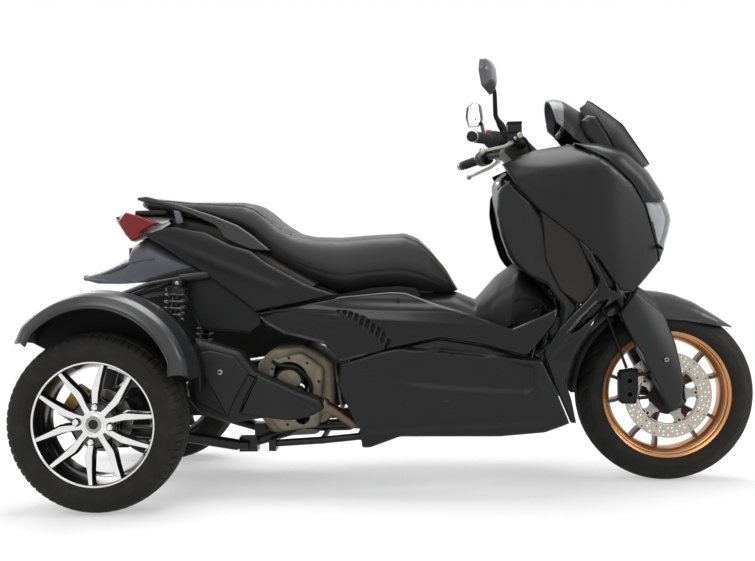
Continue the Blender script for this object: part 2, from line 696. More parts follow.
def cut_tyre(name, hub, radius, bead, width, crown, grooves, slots, slant, body):
    """Turn the profile and lower the tread. Ring grooves run at the given y; slots run
    across the shoulders, slanting: slot depth is a raised cosine of the angle plus
    slant x |y|, kept to narrow bands by a high power."""
    y, r = tyre_profile(radius, bead, width, crown, 26)
    angle = np.linspace(0, 2 * pi, 540, endpoint=False)[:, None]
    tread = step(r, radius - crown * 1.25 - 5, radius - crown * 0.9 - 2)
    depth = np.zeros_like(r)
    for groove in grooves:
        depth = np.maximum(depth, 5.0 * np.exp(-((y - groove) / 2.6) ** 4))
    side = np.abs(y) / (width / 2)
    wave = (0.5 + 0.5 * np.cos(slots * angle + slant * side * 2 * pi + pi * (y > 0))) ** 14
    cross = 4.2 * wave * step(side, 0.22, 0.42)
    fall = tread * np.maximum(depth, cross)
    points = swept(hub, r - fall, y, angle)
    return piece(name, [grid(points, wrap_rows=True, wrap_columns=True)], tyre_rubber, body,
        [name.replace("_tread", "")], sharp=30)


REAR_RIM = 181.0
for side, sign in (("right", -1), ("left", 1)):
    cut_tyre(f"rear_tyre_{side}_tread", (0, REAR_Y * sign, REAR_R), REAR_R, REAR_RIM, 150.0, 12.0,
             (-34, 0, 34), 68, 0.25, f"rear_wheel_{side}")
cut_tyre("front_tyre_tread", FRONT_HUB, FRONT_HUB[2], 198.0, 116.0, 26.0, (), 26, 1.7,
    "front_wheel")

# %% [markdown]
# ## Rear wheels
#
# A cast alloy wheel, painted black all over and then faced on a lathe, so only the
# front of each spoke and the lip are bright. Ten spokes stand in five pairs. Each one
# leaves the hub radially, bends half-way out and runs nearly parallel to its partner.
# A spoke is a cross-section carried along that bent line: a bright flat top between
# two black sloping sides.

# %% Spokes
def spoke(path, widths, face, depth, slope, finish_top=1, finish_side=0):
    """Carry a section along a path in the wheel's plane. The section has a flat top of
    the given width, sides that spread by `slope`, and a base `depth` below the face."""
    path, widths = np.asarray(path, float), np.asarray(widths, float)
    ahead = np.gradient(path, axis=0)
    ahead /= np.linalg.norm(ahead, axis=1, keepdims=True)
    across = np.stack([-ahead[:, 1], ahead[:, 0]], axis=1)
    half = widths / 2
    face, depth = np.broadcast_to(face, len(path)), np.broadcast_to(depth, len(path))
    tops = [grid(np.stack([np.column_stack([path - across * half[:, None], face]),
        np.column_stack([path + across * half[:, None], face])]), finish=finish_top)]
    rail = [(-half, face), (-half - 1.2, face - 1.5), (-half - slope, face - depth),
        (half + slope, face - depth), (half + 1.2, face - 1.5), (half, face)]
    body = np.stack([np.column_stack([path + across * offset[:, None], height]) for offset,
        height in rail])
    sides = [grid(body, finish=finish_side)]
    for end in (0, -1):
        cap = body[:, end]
        sides.append((cap, [list(range(len(cap)))], finish_side))
    return tops + sides


def on_wheel(shapes, hub, outward):
    """Stand shapes drawn as (along, up, out) on a wheel: `out` runs along the axle."""
    placed = []
    for verts, faces, finish in shapes:
        placed.append((np.column_stack([hub[0] + verts[:, 0], hub[1] + outward * verts[:, 2], hub[2]
            + verts[:, 1]]), faces, finish))
    return placed


def spun(shapes, angle):
    """Turn shapes drawn as (along, up, out) about the axle."""
    c, s = cos(radians(angle)), sin(radians(angle))
    return [(np.column_stack([v[:, 0] * c - v[:, 1] * s, v[:, 0] * s + v[:, 1] * c, v[:, 2]]), f, m)
            for v, f, m in shapes]


def ring(profile, steps=120, finish=0, closed=True):
    """Turn a profile of (out, radius) about the wheel's middle."""
    verts, faces, _ = turned(profile, (0, 0, 0), steps, finish, closed)
    return verts[:, [0, 2, 1]], faces, finish


def face_plate(outline, height, depth, edge=1.5, finish=0):
    """A flat plate on the wheel, its outside face at `height`."""
    return block(outline, ((0, 0, height - depth), *TO_TOP), depth, edge, finish)


# %% Rear wheel, drawn as (along, up, out) with the axle along `out`
FACE = 52.0
LUGS, LUG_RING = 4, 50.0
rear_wheel = []
for lean in (-1, 1):
    way = soft_line([(33, lean * 11.0), (86, lean * 32.5), (166, lean * 43.0), (172, lean * 43.6)],
        28, 14)
    reach = np.hypot(way[:, 0], way[:, 1])
    wide = np.interp(reach, [30, 60, 96, 130, 176], [17, 15, 18.5, 13.5, 9.5])
    crest = FACE - 5 + 5 * step(reach, 60, 150) - 3 * step(60 - reach, 0, 30)
    rear_wheel += spoke(way, wide, crest, np.interp(reach, [30, 175], [26, 17]), 5.5)
pairs = [s for k in range(5) for s in spun(rear_wheel, 65.0 + 72 * k)]
# between the two spokes of a pair the casting is filled near the hub
web = soft_loop(mirrored([(20, -12), (52, -22), (74, -29), (70, -10)], (68, 0)), 48, 10)
pairs += [s for k in range(5) for s in spun([face_plate(web, FACE - 14, 22, 3)], 65.0 + 72 * k)]
middle = [ring([(FACE - 30, 15), (FACE - 30, 62), (FACE - 16, 64), (FACE - 10, 60), (FACE - 8, 42),
    (FACE - 9, 15)], 90), ring([(FACE - 12, 26), (FACE - 12, 38), (FACE - 7.5, 38),
    (FACE - 6.5, 36), (FACE - 6.5, 26)], 90, 1),
    ring([(FACE - 12, 23), (FACE - 12, 28.5), (FACE - 3.5, 28.5), (FACE - 2.5, 27),
    (FACE - 2.5, 24.5), (FACE - 4, 23)], 72, 2),
    ring([(FACE - 12, 0), (FACE - 12, 23.5), (FACE - 4.5, 23.5), (FACE - 3.6, 20), (FACE - 3.4, 0)],
    72, 3, closed=False),]
lip = [
    # bright lip, black barrel that steps in behind it, and the far flange
    ring([(FACE - 1, 171.5), (FACE + 2.5, 174), (FACE + 3.5, 178), (FACE + 2, 181.5),
          (FACE - 4, 182), (FACE - 4, 172)], 180, 1),
    ring([(FACE + 1, 172), (FACE - 3, 170), (FACE - 18, 166), (FACE - 30, 160), (-20, 156),
          (-52, 160), (-62, 172), (-66, 178), (-66, 183), (FACE + 2, 183)], 180),
]
lugs = []
for k in range(LUGS):
    a = radians(-8 + 90 * k)
    spot = (LUG_RING * cos(a), LUG_RING * sin(a))
    seat = circle(13.5, 32, spot)
    lugs.append(face_plate(seat, FACE - 5, 14, 2.0, 0))
    lugs.append(face_plate(circle(10.5, 32, spot), FACE - 4.4, 4, 0.8, 4))
    lugs.append(face_plate(circle(9.3, 6, spot, 0.3 * k), FACE + 3, 12, 1.2, 2))
    lugs.append(face_plate(circle(6.6, 24, spot), FACE + 7, 6, 3.0, 2))
disc = [
    ring([(-22.5, 56), (-22.5, 90), (-17.5, 90), (-17.5, 56)], 120, 5),
    ring([(-18, 15), (-18, 58), (-6, 58), (10, 46), (FACE - 28, 42), (FACE - 28, 15)], 72, 4),
    ring([(-30, 15), (-30, 40), (-18, 40), (-18, 15)], 48, 4),
]
for side, sign in (("right", -1), ("left", 1)):
    shapes = on_wheel(pairs + middle + lip + lugs + disc, (0, REAR_Y * sign, REAR_R), sign)
    piece(f"rear_wheel_alloy_{side}", shapes,
          [rim_black, rim_silver, chrome, cap_grey, liner_black, rear_disc_steel],
          f"rear_wheel_{side}", [f"rear_rim_{side}"], sharp=28)

# %% [markdown]
# ## Front wheel
#
# Thin bronze spokes: a stem leaves the hub and forks into two arms before the rim. On
# the right stands the brake disc, a ring drilled with three rows of holes and held to
# its carrier by five floating bobbins. A drilled ring is made from a grid of cells,
# each with a round hole, bent round the axle.

# %% Front rim
arms = []
for lean in (-1, 1):
    way = soft_line([(30, lean * 5), (84, lean * 9), (112, lean * 17), (150, lean * 36),
        (172, lean * 41)], 30, 24)
    reach = np.hypot(way[:, 0], way[:, 1])
    arms += spoke(way, np.interp(reach, [30, 80, 120, 176], [11, 7, 6.5, 7.5]), 17, 34, 2.5, 1, 1)
rib = soft_loop(mirrored([(34, -9), (84, -11), (104, -14)], (99, 0)), 40, 10)
arms.append(face_plate(rib, 12, 24, 3, 1))
front_wheel = [s for k in range(5) for s in spun(arms, 31.0 + 72 * k)]
front_wheel += [
    # the lip steps down in three narrow rings to the barrel
    ring(and_back([(43, 204), (45.5, 201), (45.5, 198), (43, 195.5), (41, 190), (36, 187.5),
                   (34, 184), (28, 183), (24, 178), (14, 173)]), 200, 0),
    ring([(13, 170.5), (13, 175), (-13, 175), (-13, 170.5)], 160, 0),
    ring([(-42, 10.5), (-42, 30), (-30, 38), (-18, 36), (18, 36), (30, 38), (42, 30), (42, 10.5)],
         90, 1),
]


# %% Drilled disc
def drilled_ring(inner, outer, low, high, cells, rows, hole, finish):
    """A ring of rows x cells squares, some with a round hole. In a cell, sixteen lines
    run from the hole's edge to the square's edge, so each cell is 16 faces a side."""
    angle = np.arange(16) / 16 * 2 * pi
    square = np.stack([np.cos(angle), np.sin(angle)], axis=1)
    square /= np.max(np.abs(square), axis=1, keepdims=True)
    small = np.stack([np.cos(angle), np.sin(angle)], axis=1)
    row, cell = np.meshgrid(np.arange(rows), np.arange(cells), indexing="ij")
    height = (outer - inner) / rows
    middle_r = inner + (row + 0.5) * height
    turn = 2 * pi / cells
    middle_a = (cell + 0.5) * turn
    wide = middle_r * turn / 2
    # two cells in three are drilled, in a slanting pattern
    drilled = ((cell + 2 * row) % 3 != 0)
    rings = []
    for z in (high, low):
        edge_a = middle_a[..., None] + square[:, 0] * turn / 2
        edge_r = middle_r[..., None] + square[:, 1] * height / 2
        size = np.where(drilled, hole, 0.0)[..., None]
        hole_a = middle_a[..., None] + small[:, 0] * size / middle_r[..., None]
        hole_r = middle_r[..., None] + small[:, 1] * size
        rings.append((edge_a, edge_r, z))
        rings.append((hole_a, hole_r, z))
    order = [0, 1, 3, 2]
    stack = np.stack([np.stack([rings[k][1] * np.cos(rings[k][0]),
        rings[k][1] * np.sin(rings[k][0]), np.full(rings[k][0].shape, rings[k][2])], axis=-1)
        for k in order], axis=2)
    count = rows * cells
    points = stack.reshape(count, 4, 16, 3)
    number = np.arange(count * 64).reshape(count, 4, 16)
    around = np.roll(number, -1, axis=2)
    faces = np.stack([number[:, :-1], around[:, :-1], around[:, 1:], number[:, 1:]],
        axis=-1).reshape(-1, 4)
    return points.reshape(-1, 3), faces.tolist(), finish


front_disc = [
    drilled_ring(98, 131, 54, 58.5, 54, 3, 3.0, 0),
    ring([(54, 93), (54, 98.2), (58.5, 98.2), (58.5, 93)], 108, 0),
    ring([(54, 130.8), (54, 133.5), (58.5, 133.5), (58.5, 130.8)], 108, 0),
    ring([(40, 30), (40, 56), (52, 60), (57, 60), (57, 30)], 72, 2),
    ring([(55.5, 87), (55.5, 91.5), (58, 91.5), (58, 87)], 108, 1),
]
arm = soft_loop(mirrored([(52, -21), (68, -13), (80, -14), (89, -22)], (91, 0)), 56, 6)
for k in range(5):
    front_disc += spun([face_plate(arm, 58, 4, 0.8, 1),
        face_plate(circle(8.5, 28, (84, 0)), 61.5, 7, 1.2, 0),
        face_plate(circle(4.6, 20, (84, 0)), 62.4, 3, 0.6, 2)], 5.0 + 72 * k)

wheel_shapes = on_wheel(front_wheel, FRONT_HUB, -1)
piece("front_wheel_alloy", wheel_shapes, [rim_bronze, bronze_dark], "front_wheel",
    ["front_rim"], sharp=26)
piece("front_disc_drilled", on_wheel(front_disc, FRONT_HUB, -1),
    [disc_steel, cap_grey, liner_black], "front_wheel", ["front_disc"])

# %% [markdown]
# ## Body panels
#
# The side panels are thin mouldings that all lie on one body shape. Seen from above,
# its half-width follows one table along the length; seen from behind, another over the
# height. The body's half-width at a point is the lesser of the two, with the corner
# between them rounded by a soft minimum. A panel is then a patch drawn in side view,
# between a lower and an upper line, and laid on that shape; its edges roll inwards.

# %% The body's half-width
BLEND, SOFT_ALONG, SOFT_UP = 7.0, 90.0, 46.0


def skin(plan, section):
    """Half-width at (ahead, height): -k log(e^(-a/k) + e^(-b/k)) of the two tables."""
    along, over = smooth_table(plan, SOFT_ALONG), smooth_table(section, SOFT_UP)

    def half(x, z):
        a, b = along(x), over(z)
        low = np.minimum(a, b)
        corner = np.log(np.exp(-(a - low) / BLEND) + np.exp(-(b - low) / BLEND))
        return low - BLEND * corner + BLEND * 0.3

    return half


front_half = skin([(1150, 215), (1250, 245), (1330, 258), (1420, 255), (1500, 232), (1580, 190),
    (1640, 140), (1685, 80), (1706, 30)],
    [(150, 205), (300, 225), (400, 240), (560, 240), (620, 235), (700, 245), (800, 255), (900, 258),
    (960, 248), (1010, 215), (1045, 175), (1060, 140)])
floor_half = skin([(380, 170), (430, 190), (560, 225), (700, 248), (800, 264), (900, 268),
    (1150, 268), (1250, 262), (1340, 240), (1400, 210)],
    [(140, 190), (190, 215), (250, 252), (350, 267), (440, 268), (490, 262), (520, 256), (560, 245),
    (625, 210)])
tail_half = skin([(-70, 70), (-20, 92), (84, 128), (250, 166), (450, 200), (600, 222), (710, 236)],
    [(530, 200), (620, 225), (700, 215), (760, 190), (800, 165), (830, 140), (880, 120), (930, 95)])


# %% Panels laid on the body
def patch(lower, upper, along=120, across=36, soft=26.0):
    """Points in side view between two lines: (1 - t) lower + t upper, closer together
    near the edges, as t = (1 - cos)/2."""
    low, high = soft_line(lower, along, soft), soft_line(upper, along, soft)
    t = (0.5 - 0.5 * np.cos(np.linspace(0, pi, across)))[:, None, None]
    return low[None] * (1 - t) + high[None] * t


def rolled(flat, half, roll, proud=0.0, relief=None):
    """Lay a patch on the body: y = half-width, less a quarter-round of radius `roll`
    near the edges: r - sqrt(r^2 - (r - d)^2) at distance d from the edge."""
    x, z = flat[..., 0], flat[..., 1]
    rim = np.concatenate([flat[0], flat[-1], flat[:, 0], flat[:, -1]])
    gap = np.min(np.hypot(x[..., None] - rim[:, 0], z[..., None] - rim[:, 1]), axis=-1)
    short = np.clip(roll - gap, 0, roll)
    drop = roll - np.sqrt(np.maximum(roll ** 2 - short ** 2, 0))
    width = half(x, z) + proud - drop + (relief(x, z) if relief else 0)
    return np.stack([x, -width, z], axis=-1)


def side_panel(lower, upper, half, roll=9.0, flange=16.0, wall=3.0, proud=0.0, relief=None,
        soft=26.0, along=120, across=36, finish=0):
    """A right-hand panel: the laid patch, a flange turned in along every edge, and the
    same again 3 mm inside, joined into one closed plate."""
    laid = rolled(patch(lower, upper, along, across, soft), half, roll, proud, relief)
    edged = np.pad(laid, ((1, 1), (1, 1), (0, 0)), mode="edge")
    outer = np.zeros(edged.shape[:2])
    outer[[0, -1], :] = 1
    outer[:, [0, -1]] = 1
    edged[..., 1] += outer * flange
    side = np.zeros_like(edged)
    side[1:-1, 1:-1] = normals_of(laid)
    side *= np.sign(side[..., 1:2] + TINY)
    back = edged + side * wall + np.array([0, 1, 0]) * (1 - outer[..., None]) * 0.3
    loop = np.concatenate([edged, back[::-1]], axis=0)
    verts, faces, _ = grid(loop)
    rows, columns = edged.shape[:2]
    first = np.arange(columns)
    last = first + (2 * rows - 1) * columns
    faces += end_strips(rows, columns)
    faces += np.stack([first[:-1], first[1:], last[1:], last[:-1]], axis=-1).tolist()
    return verts, faces, finish


def crease(x, z, start, end, width, height):
    """A soft ridge (or groove) along a line: height x e^(-(d/width)^2), fading at its ends."""
    way = np.array(end, float) - start
    length = np.hypot(*way)
    along = ((x - start[0]) * way[0] + (z - start[1]) * way[1]) / length
    away = ((x - start[0]) * way[1] - (z - start[1]) * way[0]) / length
    ridge = height * np.exp(-(away / width) ** 2)
    return ridge * step(along, -20, 40) * step(length - along, -20, 40)


def inside(x, z, loop):
    """Distance in from a closed outline: the least distance to its sides, less than 0
    outside it. A point is inside if a ray from it crosses the sides an odd number of times."""
    start = np.array(loop, float)
    end = np.roll(start, -1, axis=0)
    way = end - start
    px, pz = x[..., None] - start[:, 0], z[..., None] - start[:, 1]
    t = np.clip((px * way[:, 0] + pz * way[:, 1]) / np.sum(way ** 2, axis=1), 0, 1)
    gap = np.min(np.hypot(px - t * way[:, 0], pz - t * way[:, 1]), axis=-1)
    above = (start[:, 1] > z[..., None]) != (end[:, 1] > z[..., None])
    climb = np.where(way[:, 1] == 0, 1e-9, way[:, 1])
    cross = start[:, 0] + (z[..., None] - start[:, 1]) * way[:, 0] / climb
    odd = np.sum(above & (x[..., None] < cross), axis=-1) % 2
    return np.where(odd == 1, gap, -gap)


# %% [markdown]
# The cowl is the large matte side of the fairing. The boomerang trim behind it and the
# side cover are gloss black. The trim's slots and the cover's vent are sunk into the
# panel by its relief; a screw is a small round plate of its own.

# %% Cowls, trims, footboards, side covers and tail covers
def over_fold(x, z):
    """How far a point lies above the cowl's shoulder line."""
    return ((x - 1425) * 97 + (z - 1000) * 127) / 160


def fold(x, z):
    """The cowl's shoulder: the upper edge leans in along a line from the screen to the bars."""
    above = over_fold(x, z)
    facet = 0.42 * (above + np.sqrt(above ** 2 + 30)) * step(x, 1330, 1440)
    return -26 * step((z - 930 - 0.22 * (x - 1180)) / 100, 0.0, 1.0) - np.minimum(facet, 40)


cowl = side_panel([(1176, 984), (1222, 903), (1277, 843), (1381, 760), (1447, 696), (1506, 608),
    (1548, 600), (1572, 620), (1643, 686)],
    [(1176, 984), (1272, 1025), (1386, 1043), (1469, 993), (1550, 921), (1593, 855), (1639, 722),
    (1643, 686)], front_half, relief=fold, soft=22, along=200, across=60)
cowls = piece("cowl_panels", both([cowl]), [body_matte, facet_satin], "chassis",
    ["cowls"])


def face_middles(thing):
    """The x and z of every face's middle, in side-view millimetres."""
    middle = np.empty(3 * len(thing.data.polygons))
    thing.data.polygons.foreach_get("center", middle)
    middle = (middle.reshape(-1, 3) - (AXLE_X, 0, 0)) / MM
    return middle[:, 0], middle[:, 2]


# the leaning facet under the hood is smoother than the side, so it catches the light
x, z = face_middles(cowls)
cowls.data.polygons.foreach_set("material_index",
    np.where((over_fold(x, z) > 2) & (x > 1432), 1, 0).tolist())


def trim_relief(x, z):
    """Two deep slots, one in each arm of the boomerang, with a raised rim round each."""
    deep = 0
    for slot in (SLOT_UP, SLOT_DOWN):
        away = inside(x, z, slot)
        deep = deep - 20 * step(away, -1, 5) + 2.6 * np.exp(-((away + 4) / 3.0) ** 2)
    return deep + crease(x, z, (1300, 420), (1400, 540), 8, 3)


SLOT_UP = [(1424, 716), (1458, 648), (1476, 612), (1495, 603), (1490, 640), (1452, 698)]
SLOT_DOWN = [(1472, 582), (1447, 545), (1413, 520), (1386, 496), (1358, 484), (1392, 526),
    (1440, 572)]


trim = side_panel([(1378, 218), (1364, 288), (1344, 349), (1373, 436), (1446, 548), (1512, 592),
    (1507, 609), (1448, 698), (1382, 762)],
    [(1362, 220), (1314, 334), (1283, 432), (1328, 498), (1410, 582), (1436, 612), (1448, 640),
    (1408, 703), (1382, 762)], front_half, roll=6, flange=14, proud=1.5, relief=trim_relief,
    soft=16, along=240, across=40)
piece("duct_trim_panels", both([trim]), body_gloss, "chassis", ["duct_trims"])


TOE_POCKET = [(772, 374), (896, 337), (1073, 321), (1228, 312), (1258, 330), (1262, 396),
    (1224, 404), (1112, 436), (983, 452), (880, 428)]


def tread_relief(x, z):
    """The sill: a foot recess along its top, a shallow pocket in its side with a raised
    rim, and two creases."""
    top = step(z - (428 - 0.10 * (x - 1000)), 0, 16)
    recess = -16 * top * step(x, 830, 900) * step(1290 - x, 0, 60)
    away = inside(x, z, TOE_POCKET)
    pocket = -11 * step(away, 0, 15) * step(x, 780, 1000)
    rim = 1.6 * np.exp(-((away + 5) / 4.0) ** 2) * step(x, 860, 980)
    low_crease = crease(x, z, (760, 210), (1290, 236), 16, 5)
    return recess + (pocket + rim) + low_crease + crease(x, z, (1120, 440), (1300, 300), 14, 4)


sill = side_panel([(679, 343), (742, 205), (745, 145), (769, 145), (860, 181), (1155, 179),
    (1286, 191), (1357, 220)], [(692, 405), (823, 443), (983, 476), (1112, 454), (1223, 421),
    (1277, 408), (1311, 333), (1357, 220)], floor_half, relief=tread_relief, along=250, across=84,
    soft=22)
piece("footboard_panels", both([sill]), body_matte, "chassis", ["footboards"])


def cover_relief(x, z):
    """A sunken panel whose front edge is a vent with slanting ribs, and a long crease."""
    depth_in = inside(x, z, VENT)
    vent = step(depth_in, 0, 4) * (-9 + 7 * step(rib_wave(x, z), -0.2, 0.4))
    panel = -5 * step(inside(x, z, VENT_PANEL), -2, 5) * step(depth_in, 1, -3)
    lean = 9 * step(z - 560 + 0.05 * (x - 700), 0, 40)
    return vent + panel + crease(x, z, (440, 562), (1190, 505), 12, 3) - lean


def rib_wave(x, z):
    """A wave along the vent: sin of the distance down it, one turn for each rib."""
    return np.sin(2 * pi * ((x - 690) * 0.95 - (z - 556) * 0.35) / 19)


VENT = [(676, 564), (716, 561), (768, 542), (822, 498), (842, 470), (824, 446), (806, 474),
    (764, 512), (716, 540)]
VENT_PANEL = [(440, 545), (500, 560), (602, 563), (692, 560), (766, 536), (830, 492), (838, 466),
    (808, 441), (690, 414), (645, 466), (569, 486), (523, 495), (470, 522)]


cover = side_panel([(432, 556), (460, 519), (523, 490), (645, 461), (692, 409), (823, 447),
    (983, 480), (1112, 458), (1232, 424), (1262, 455), (1319, 522), (1326, 560)],
    [(432, 556), (571, 578), (691, 603), (839, 614), (883, 611), (956, 584), (1071, 545),
    (1191, 501), (1280, 538), (1326, 560)], floor_half, roll=7, relief=cover_relief, soft=20,
    along=380, across=60)
screws = []
for place in ((1210, 447), (862, 590)):
    out = float(floor_half(np.array([place[0]]), np.array([place[1]]))[0]) - 4
    screws += [block(circle(6, 24), ((place[0], -out, place[1]), *TO_RIGHT), 3, 1, 3)]
covers = piece("side_cover_panels", both([cover] + screws),
    [body_gloss, liner_black, inner_black, frame_black], "chassis", ["side_covers"])
x, z = face_middles(covers)
index = np.empty(len(covers.data.polygons), np.int32)
covers.data.polygons.foreach_get("material_index", index)
in_vent = (inside(x, z, VENT) > 0) & (index == 0)
covers.data.polygons.foreach_set("material_index",
    np.where(in_vent, np.where(rib_wave(x, z) > 0.1, 2, 1), index))


def tail_relief(x, z):
    """A crease along the tail cover, and the flat below it."""
    return crease(x, z, (110, 790), (520, 620), 14, 4)


tail = side_panel([(67, 800), (142, 758), (257, 682), (352, 617), (428, 560), (571, 583),
    (680, 606)], [(67, 800), (163, 825), (274, 804), (355, 762), (418, 743), (470, 704), (592, 638),
    (680, 606)], tail_half, relief=tail_relief, soft=24)
piece("tail_cover_panels", both([tail]), body_matte, "chassis", ["tail_covers"])


# %% [markdown]
# ## Wrapped forms
#
# The nose, the instrument hood, the tail lamp and the mudguards go right across the
# vehicle. Such a form has a line down its middle and one along its side edge, and
# between them each cross-section is a quarter of an ellipse on each side.

# %% Nose, lamps, hood and screen
def wrap(middle, edge, half, along=90, across=61, soft=24.0, power=1.0):
    """Rows along the form, columns across it: with a from -90 to 90 degrees,
    y = half x sin a, and the side-view point is edge + (middle - edge) cos^p a."""
    mid, rim = soft_line(middle, along, soft), soft_line(edge, along, soft)
    if callable(half):
        wide = half(rim[:, 0], rim[:, 1])
    else:
        wide = np.interp(np.linspace(0, 1, along), np.linspace(0, 1, len(half)), half)
    a = np.linspace(-pi / 2, pi / 2, across)
    rise = np.cos(a)[None, :, None] ** power
    flat = rim[:, None] + (mid - rim)[:, None] * rise
    y = wide[:, None] * np.sin(a)[None, :]
    return np.stack([flat[..., 0], y, flat[..., 1]], axis=-1)


NOSE_MIDDLE = [(1400, 1050), (1475, 1056), (1560, 1034), (1632, 966), (1676, 900), (1700, 852),
    (1709, 818), (1698, 771), (1680, 724), (1656, 684)]
NOSE_EDGE = [(1390, 1041), (1470, 993), (1512, 957), (1552, 922), (1580, 880), (1594, 857),
    (1612, 805), (1628, 757), (1640, 722), (1644, 690)]
nose_grid = wrap(NOSE_MIDDLE, NOSE_EDGE, lambda x, z: front_half(x, z) - 4, 150, 141, 26, 0.85)
row_z = nose_grid[..., 2]
row_y = np.abs(nose_grid[..., 1])
lamp_mask = step(row_y, 26, 40) * step(886 - row_z - 0.12 * (row_y - 40), 0, 16) * \
    step(row_z - (716 + 0.42 * np.maximum(0, 100 - row_y)), 0, 16)
lamp_mask[:, :2] = lamp_mask[:, -2:] = 0
outward = normals_of(nose_grid)
outward *= np.sign(outward[..., :1] + 0.3 * outward[..., 2:] + 1e-9)
bowl = nose_grid - outward * (30 * lamp_mask)[..., None]
nose_shell = shell(bowl, -4.0, inward=outward)
piece("nose_shell", [nose_shell], body_satin, "chassis", ["nose_panel"], sharp=50)


def lamp_part(depth, name, finish, replaced=()):
    """Cut the lamp's share of the nose surface out of a finer grid, set in by `depth`."""
    shapes = []
    rows = np.where(lamp_mask.max(axis=1) > 0.5)[0]
    for sign in (-1, 1):
        columns = np.where((lamp_mask[rows].max(axis=0) > 0.5)
            & (np.sign(nose_grid[0, :, 1]) == sign))[0]
        sub = nose_grid[rows[0]:rows[-1] + 1, columns[0]:columns[-1] + 1]
        away = outward[rows[0]:rows[-1] + 1, columns[0]:columns[-1] + 1]
        shade = lamp_mask[rows[0]:rows[-1] + 1, columns[0]:columns[-1] + 1]
        shapes.append(shell(sub - away * (depth + 8 * (1 - step(shade, 0.2, 0.8)))[..., None], 2.0,
            inward=-away))
    return piece(name, shapes, finish, "chassis", replaced, sharp=50)


lamp_part(1.0, "headlamp_lenses", lens_clear, ["headlamps"])
# behind each lens: a bright reflector bowl with a projector in it
bulbs = []
for spot_y, spot_z, size in ((88, 812, 26), (120, 770, 19)):
    lens_x = 1612 + (110 - spot_y) * 0.55
    rim = [(0, size), (10, size + 2), (16, size - 2), (15, size - 5), (4, size - 6), (0, size - 10)]
    verts, faces, _ = turned(np.array(rim), (0, 0, 0), 40)
    bulbs.append((verts[:, [1, 0, 2]] + (lens_x, -spot_y, spot_z), faces, 0))
    dome = [(2 + 9 * cos(t), (size - 5) * sin(t))
        for t in np.linspace(0, pi / 2, 9)] + [(0, size - 5), (0, 0)]
    verts, faces, _ = turned(np.array(dome), (0, 0, 0), 40, closed=False)
    bulbs.append((verts[:, [1, 0, 2]] + (lens_x, -spot_y, spot_z), faces, 1))
piece("headlamp_projectors", both(bulbs), [chrome, lens_white], "chassis")
lamp_part(18.0, "headlamp_reflectors", mirror_silver)

HOOD_MIDDLE = [(1333, 1199), (1352, 1204), (1382, 1198), (1436, 1162), (1500, 1090), (1545, 1040)]
HOOD_EDGE = [(1352, 1120), (1362, 1110), (1378, 1096), (1402, 1066), (1440, 1042), (1490, 1022)]
hood = wrap(HOOD_MIDDLE, HOOD_EDGE, [92, 100, 108, 112, 118, 122], 70, 49, 20, 0.8)
side = normals_of(hood)
side *= np.sign(side[..., 2:] + 0.4 * side[..., :1] + 1e-9)
dial_face = block(soft_loop([(-84, 0), (-70, 52), (70, 52), (84, 0), (60, -30), (-60, -30)], 60,
    20), ((1392, 0, 1106), (0, 1, 0), (0.55, 0, 0.83), (-0.83, 0, 0.55)), 12, 4, 1)
dial_glass = block(soft_loop([(-70, 4), (-60, 42), (60, 42), (70, 4), (50, -20), (-50, -20)], 60,
    16), ((1386, 0, 1110), (0, 1, 0), (0.55, 0, 0.83), (-0.83, 0, 0.55)), 10, 2, 2)
pod = side_panel([(1423, 1119), (1430, 1080), (1440, 1058), (1470, 1026), (1520, 1010)],
    [(1423, 1119), (1442, 1136), (1470, 1132), (1502, 1080), (1526, 1034), (1520, 1010)], lambda x,
    z: 126 + 0 * x, roll=20, flange=40, soft=14, along=70, across=30, finish=3)
base = wrap([(1392, 1060), (1440, 1050), (1540, 1036)], [(1392, 1036), (1440, 1034), (1500, 1016)],
    [104, 110, 120], 30, 33, 10)
piece("meter_hood", [shell(hood[:12] + side[:12] * 0.8, -4.8, inward=side[:12]),
    shell(hood[11:], -4.0, 3, inward=side[11:]), dial_face, dial_glass,
    shell(base, -4.0, inward=UP)] + both([pod]), [visor_grey, liner_black, body_gloss, body_satin],
    "chassis", ["meter_housing"], sharp=45)

SCREEN_FOOT, SCREEN_TIP, SCREEN_BEND = (1640, 986), (1456, 1189), 330
up_screen = np.linspace(0, 1, 40)[:, None]
over_screen = np.linspace(-1, 1, 41)[None, :]
half_w = np.interp(up_screen, [0, 0.05, 0.34, 0.7, 0.93, 1.0], [92, 112, 150, 132, 92, 62])
bow = np.interp(up_screen, [0, 0.5, 1], [0, 22, 0])
sx, sz = (foot + (tip - foot) * up_screen + bow * lean
          for foot, tip, lean in zip(SCREEN_FOOT, SCREEN_TIP, (0.74, 0.66)))
sy = half_w * over_screen
back = SCREEN_BEND - np.sqrt(SCREEN_BEND ** 2 - sy ** 2)
screen_grid = np.stack([sx - back * 0.74 + 0 * sy, sy, sz - back * 0.1 + 0 * sy], axis=-1)
piece("wind_screen", [shell(screen_grid, 3.0)], screen_smoke, "chassis",
    ["windscreen"])

# %% [markdown]
# The fairing's inside shows through the gap behind the cowl: two satin wings beside
# the rider's knees, and a dull triangular panel between them and the slotted trim.
# They lie a little inside the cowl, so they use the same panel function, set in.

# %% Leg shield and tunnel
def inner_half(x, z):
    """Width of the inner panels: the body's, 12 mm in, less near the rider."""
    return front_half(x, z) - 12 - 30 * step(1260 - x, 0, 110)


